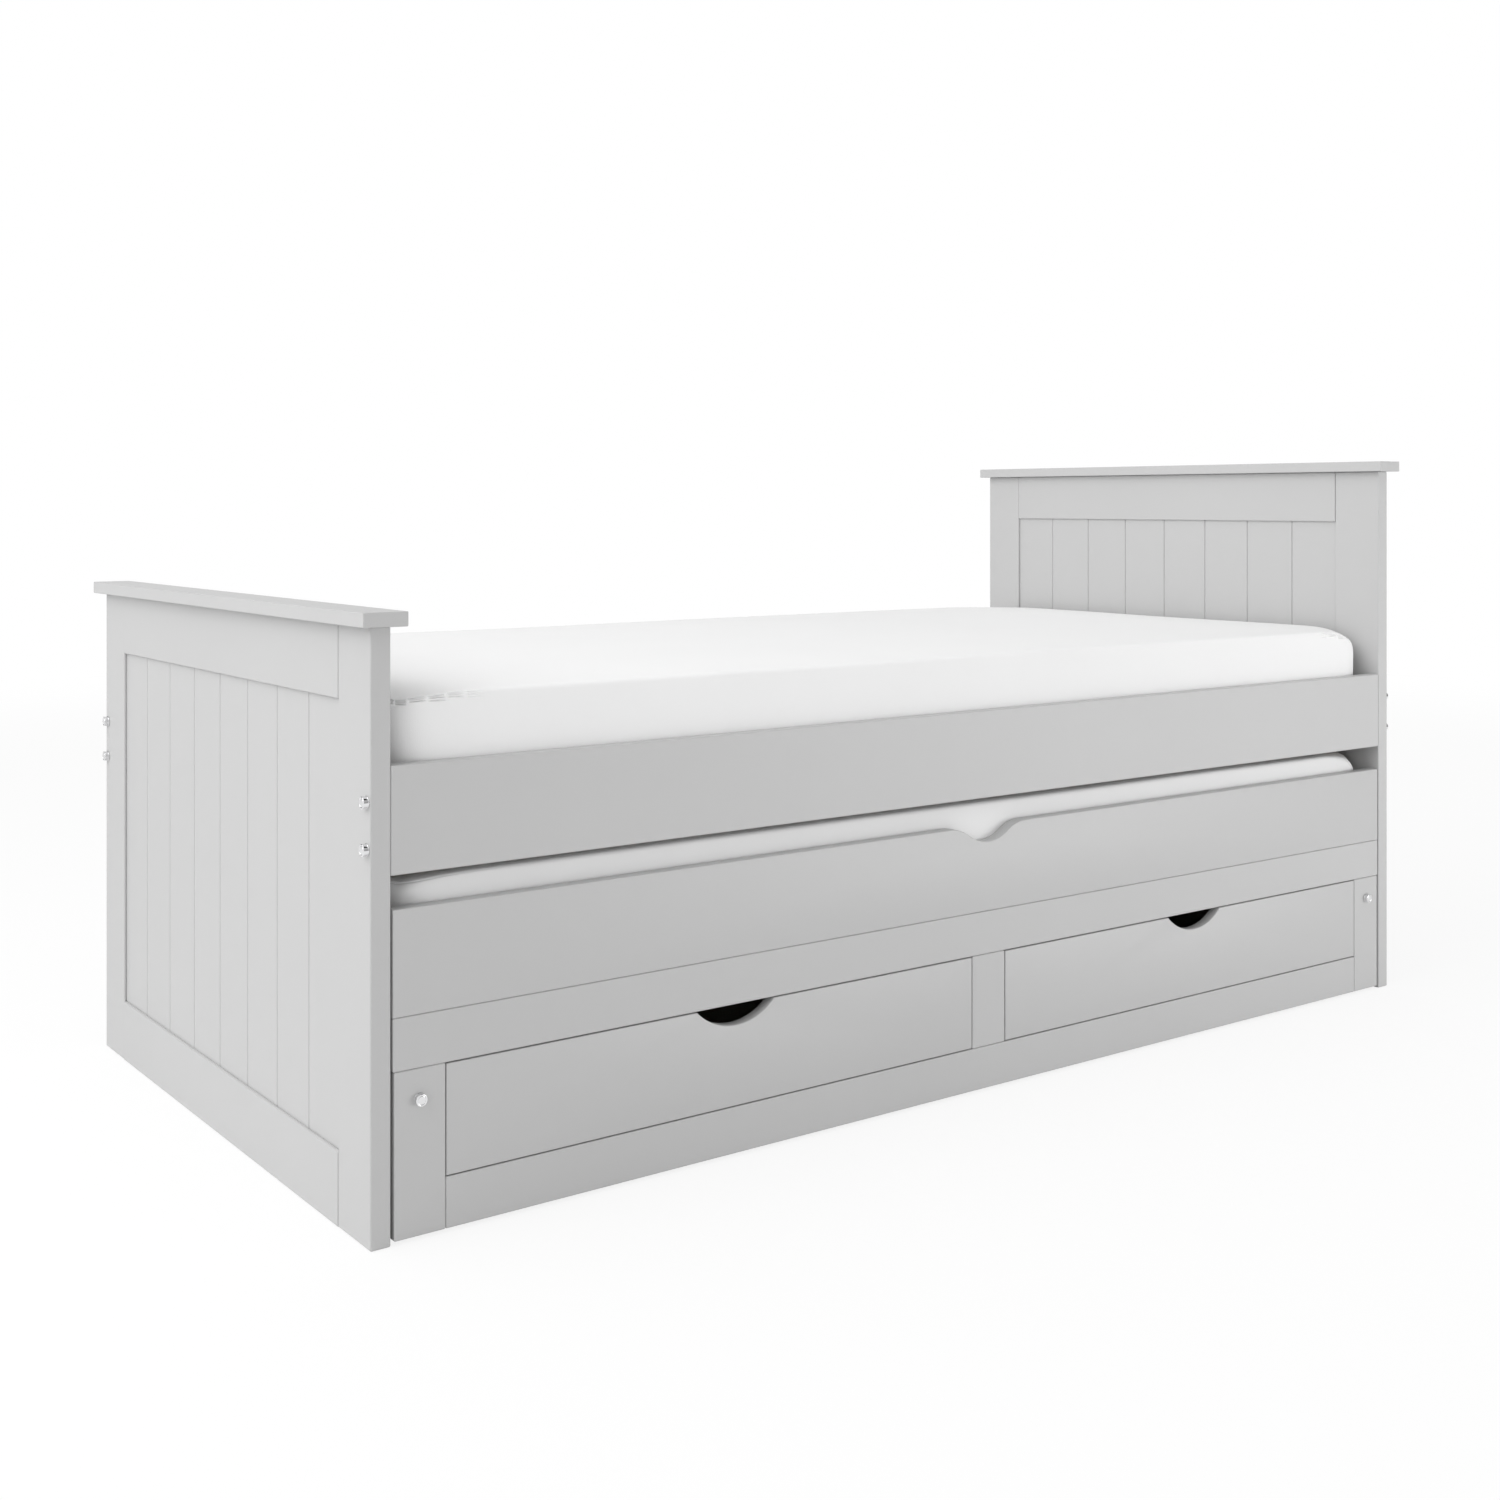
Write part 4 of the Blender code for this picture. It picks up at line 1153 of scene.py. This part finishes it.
# ---- studio ------------------------------------------------------------------------------
def studio_floor(color, radius):
    """A wide pale floor, whiter to the eye than to the bed, that fades out before its edge."""
    mat, tree, shader = toned("pale_floor", tuple(color), roughness=0.75, drift_scale=0.6, drift=0.004,
                              grain_scale=300.0, grain_height=0.00002)
    shader.inputs["Specular IOR Level"].default_value = 0.15
    link = tree.links.new
    path = tree.nodes.new("ShaderNodeLightPath")
    bounce = add_node(tree, "ShaderNodeMix", data_type="RGBA")
    bounce.inputs[MIX_A].default_value = (*color, 1.0)
    bounce.inputs[MIX_B].default_value = FLOOR_BOUNCE
    link(path.outputs["Is Diffuse Ray"], bounce.inputs["Factor"])
    link(bounce.outputs[MIX_RESULT], shader.inputs["Base Color"])
    place = tree.nodes.new("ShaderNodeTexCoord")
    distance = tree.nodes.new("ShaderNodeVectorMath")
    distance.operation = "LENGTH"
    link(place.outputs["Object"], distance.inputs[0])
    fade = tree.nodes.new("ShaderNodeMapRange")
    fade.interpolation_type = "SMOOTHSTEP"
    fade.inputs["From Min"].default_value = radius * FLOOR_FADE
    fade.inputs["From Max"].default_value = radius
    fade.inputs["To Min"].default_value = 1.0
    fade.inputs["To Max"].default_value = 0.0
    link(distance.outputs["Value"], fade.inputs["Value"])
    link(fade.outputs["Result"], shader.inputs["Alpha"])
    glow = tree.nodes.new("ShaderNodeEmission")
    glow.inputs["Color"].default_value = WHITE
    blend = tree.nodes.new("ShaderNodeMixShader")
    share = math_node(tree, "MULTIPLY", path.outputs["Is Camera Ray"], FLOOR_GLOW)
    link(share, blend.inputs["Fac"])
    link(shader.outputs["BSDF"], blend.inputs[1])
    link(glow.outputs["Emission"], blend.inputs[2])
    link(blend.outputs["Shader"], tree.nodes["Material Output"].inputs["Surface"])
    bm = bmesh.new()
    bmesh.ops.create_circle(bm, cap_ends=True, segments=96, radius=radius)
    floor = new_object("studio_floor", mesh_from(bm, "studio_floor", smooth=False))
    floor.location.z = -FLOOR_DROP
    floor.data.materials.append(mat)


def studio_world(ambient):
    """White to the eye. A soft dome lights the bed, brighter over its foot than over its front, and
    has two dark flags that only polished metal mirrors."""
    world = bpy.data.worlds.new("studio_dome")
    bpy.context.scene.world = world
    world.use_nodes = True
    tree = world.node_tree
    tree.nodes.clear()
    link = tree.links.new
    direction = tree.nodes.new("ShaderNodeTexCoord")

    def towards(vector):
        lean = tree.nodes.new("ShaderNodeVectorMath")
        lean.operation = "DOT_PRODUCT"
        lean.inputs[1].default_value = vector
        link(direction.outputs["Generated"], lean.inputs[0])
        return lean.outputs["Value"]

    path = tree.nodes.new("ShaderNodeLightPath")
    strength = math_node(tree, "ADD", towards(DOME_LEAN), ambient)
    flags = [math_node(tree, "GREATER_THAN", towards(Vector(way).normalized()), cosine)
             for way, cosine in BLACK_FLAGS]
    flag = math_node(tree, "MAXIMUM", *flags)
    hidden = math_node(tree, "MULTIPLY", flag, path.outputs["Is Glossy Ray"])
    lit = math_node(tree, "MULTIPLY", strength, math_node(tree, "SUBTRACT", 1.0, hidden))
    dome = tree.nodes.new("ShaderNodeBackground")
    dome.inputs["Color"].default_value = WHITE
    link(math_node(tree, "MAXIMUM", lit, 0.0), dome.inputs["Strength"])
    seen = tree.nodes.new("ShaderNodeBackground")
    seen.inputs["Color"].default_value = WHITE
    mix = tree.nodes.new("ShaderNodeMixShader")
    out = tree.nodes.new("ShaderNodeOutputWorld")
    link(path.outputs["Is Camera Ray"], mix.inputs["Fac"])
    link(dome.outputs[0], mix.inputs[1])
    link(seen.outputs[0], mix.inputs[2])
    link(mix.outputs[0], out.inputs["Surface"])


def soft_light(name, location, target, size, watts):
    """A wide lamp that faces a target."""
    light = bpy.data.lights.new(name, "AREA")
    light.shape = "RECTANGLE"
    light.size, light.size_y = size
    light.energy = watts
    obj = bpy.data.objects.new(name, light)
    bpy.context.scene.collection.objects.link(obj)
    obj.location = location
    obj.rotation_mode = "QUATERNION"
    obj.rotation_quaternion = (Vector(target) - Vector(location)).to_track_quat("-Z", "Y")


def studio_camera(lens, yaw):
    """Level camera at the bed's front left, raised by shift and not by tilt."""
    data = bpy.data.cameras.new("studio_camera")
    data.sensor_width = 36.0
    data.lens = lens
    data.shift_x, data.shift_y = CAMERA_SHIFT
    data.clip_end = 100.0
    data.dof.use_dof = False
    camera = bpy.data.objects.new("studio_camera", data)
    bpy.context.scene.collection.objects.link(camera)
    camera.location = CAMERA_PLACE
    camera.rotation_euler = (math.radians(90.0), 0.0, -yaw)
    bpy.context.scene.camera = camera


class TRUNDLEBED_OT_studio(bpy.types.Operator):
    """Set up the floor, the soft light and the camera"""
    bl_idname = "trundlebed.studio"
    bl_label = "Studio"

    def execute(self, context):
        studio = context.scene.bed_studio
        context.scene.view_settings.view_transform = "Standard"
        studio_floor(studio.floor, studio.floor_radius)
        studio_world(studio.ambient)
        for name, place, target, size, setting in SOFT_LIGHTS:
            soft_light(name, place, target, size, getattr(studio, setting))
        studio_camera(studio.lens, studio.yaw)
        return {"FINISHED"}


# ---- panel and registration --------------------------------------------------------------
class TRUNDLEBED_PT_sidebar(bpy.types.Panel):
    """Buttons and settings for the bed"""
    bl_idname = "TRUNDLEBED_PT_sidebar"
    bl_label = "Trundle Bed"
    bl_space_type = "VIEW_3D"
    bl_region_type = "UI"
    bl_category = "Trundle Bed"

    def draw(self, context):
        for attribute, _ in SETTINGS:
            group = getattr(context.scene, attribute)
            box = self.layout.box()
            for name in group.__annotations__:
                box.prop(group, name)
        for operator in OPERATORS:
            self.layout.operator(operator.bl_idname)


SETTINGS = (("bed_paint", PaintSettings), ("bed_timber", TimberSettings), ("bed_mattress", MattressSettings),
            ("bed_fittings", FittingSettings), ("bed_studio", StudioSettings))
OPERATORS = (TRUNDLEBED_OT_studio, TRUNDLEBED_OT_paint, TRUNDLEBED_OT_timber, TRUNDLEBED_OT_mattresses,
             TRUNDLEBED_OT_bolts, TRUNDLEBED_OT_castors)


def register():
    for _, group in SETTINGS:
        bpy.utils.register_class(group)
    for attribute, group in SETTINGS:
        setattr(bpy.types.Scene, attribute, PointerProperty(type=group))
    for cls in OPERATORS + (TRUNDLEBED_PT_sidebar,):
        bpy.utils.register_class(cls)


def unregister():
    for cls in reversed(OPERATORS + (TRUNDLEBED_PT_sidebar,)):
        bpy.utils.unregister_class(cls)
    for attribute, group in reversed(SETTINGS):
        delattr(bpy.types.Scene, attribute)
        bpy.utils.unregister_class(group)


def clear_defaults():
    """Remove a new file's own cube, light and camera, and nothing of the frame."""
    ours = set(frame["nodes"].values()) | set(frame["bodies"].values())
    for obj in list(bpy.data.objects):
        if obj not in ours:
            bpy.data.objects.remove(obj, do_unlink=True)


def main():
    register()
    clear_defaults()
    bpy.ops.trundlebed.studio()
    bpy.ops.trundlebed.paint()
    bpy.ops.trundlebed.timber()
    bpy.ops.trundlebed.mattresses()
    bpy.ops.trundlebed.bolts()
    bpy.ops.trundlebed.castors()
    bpy.context.view_layer.update()


if __name__ == "__main__":
    main()
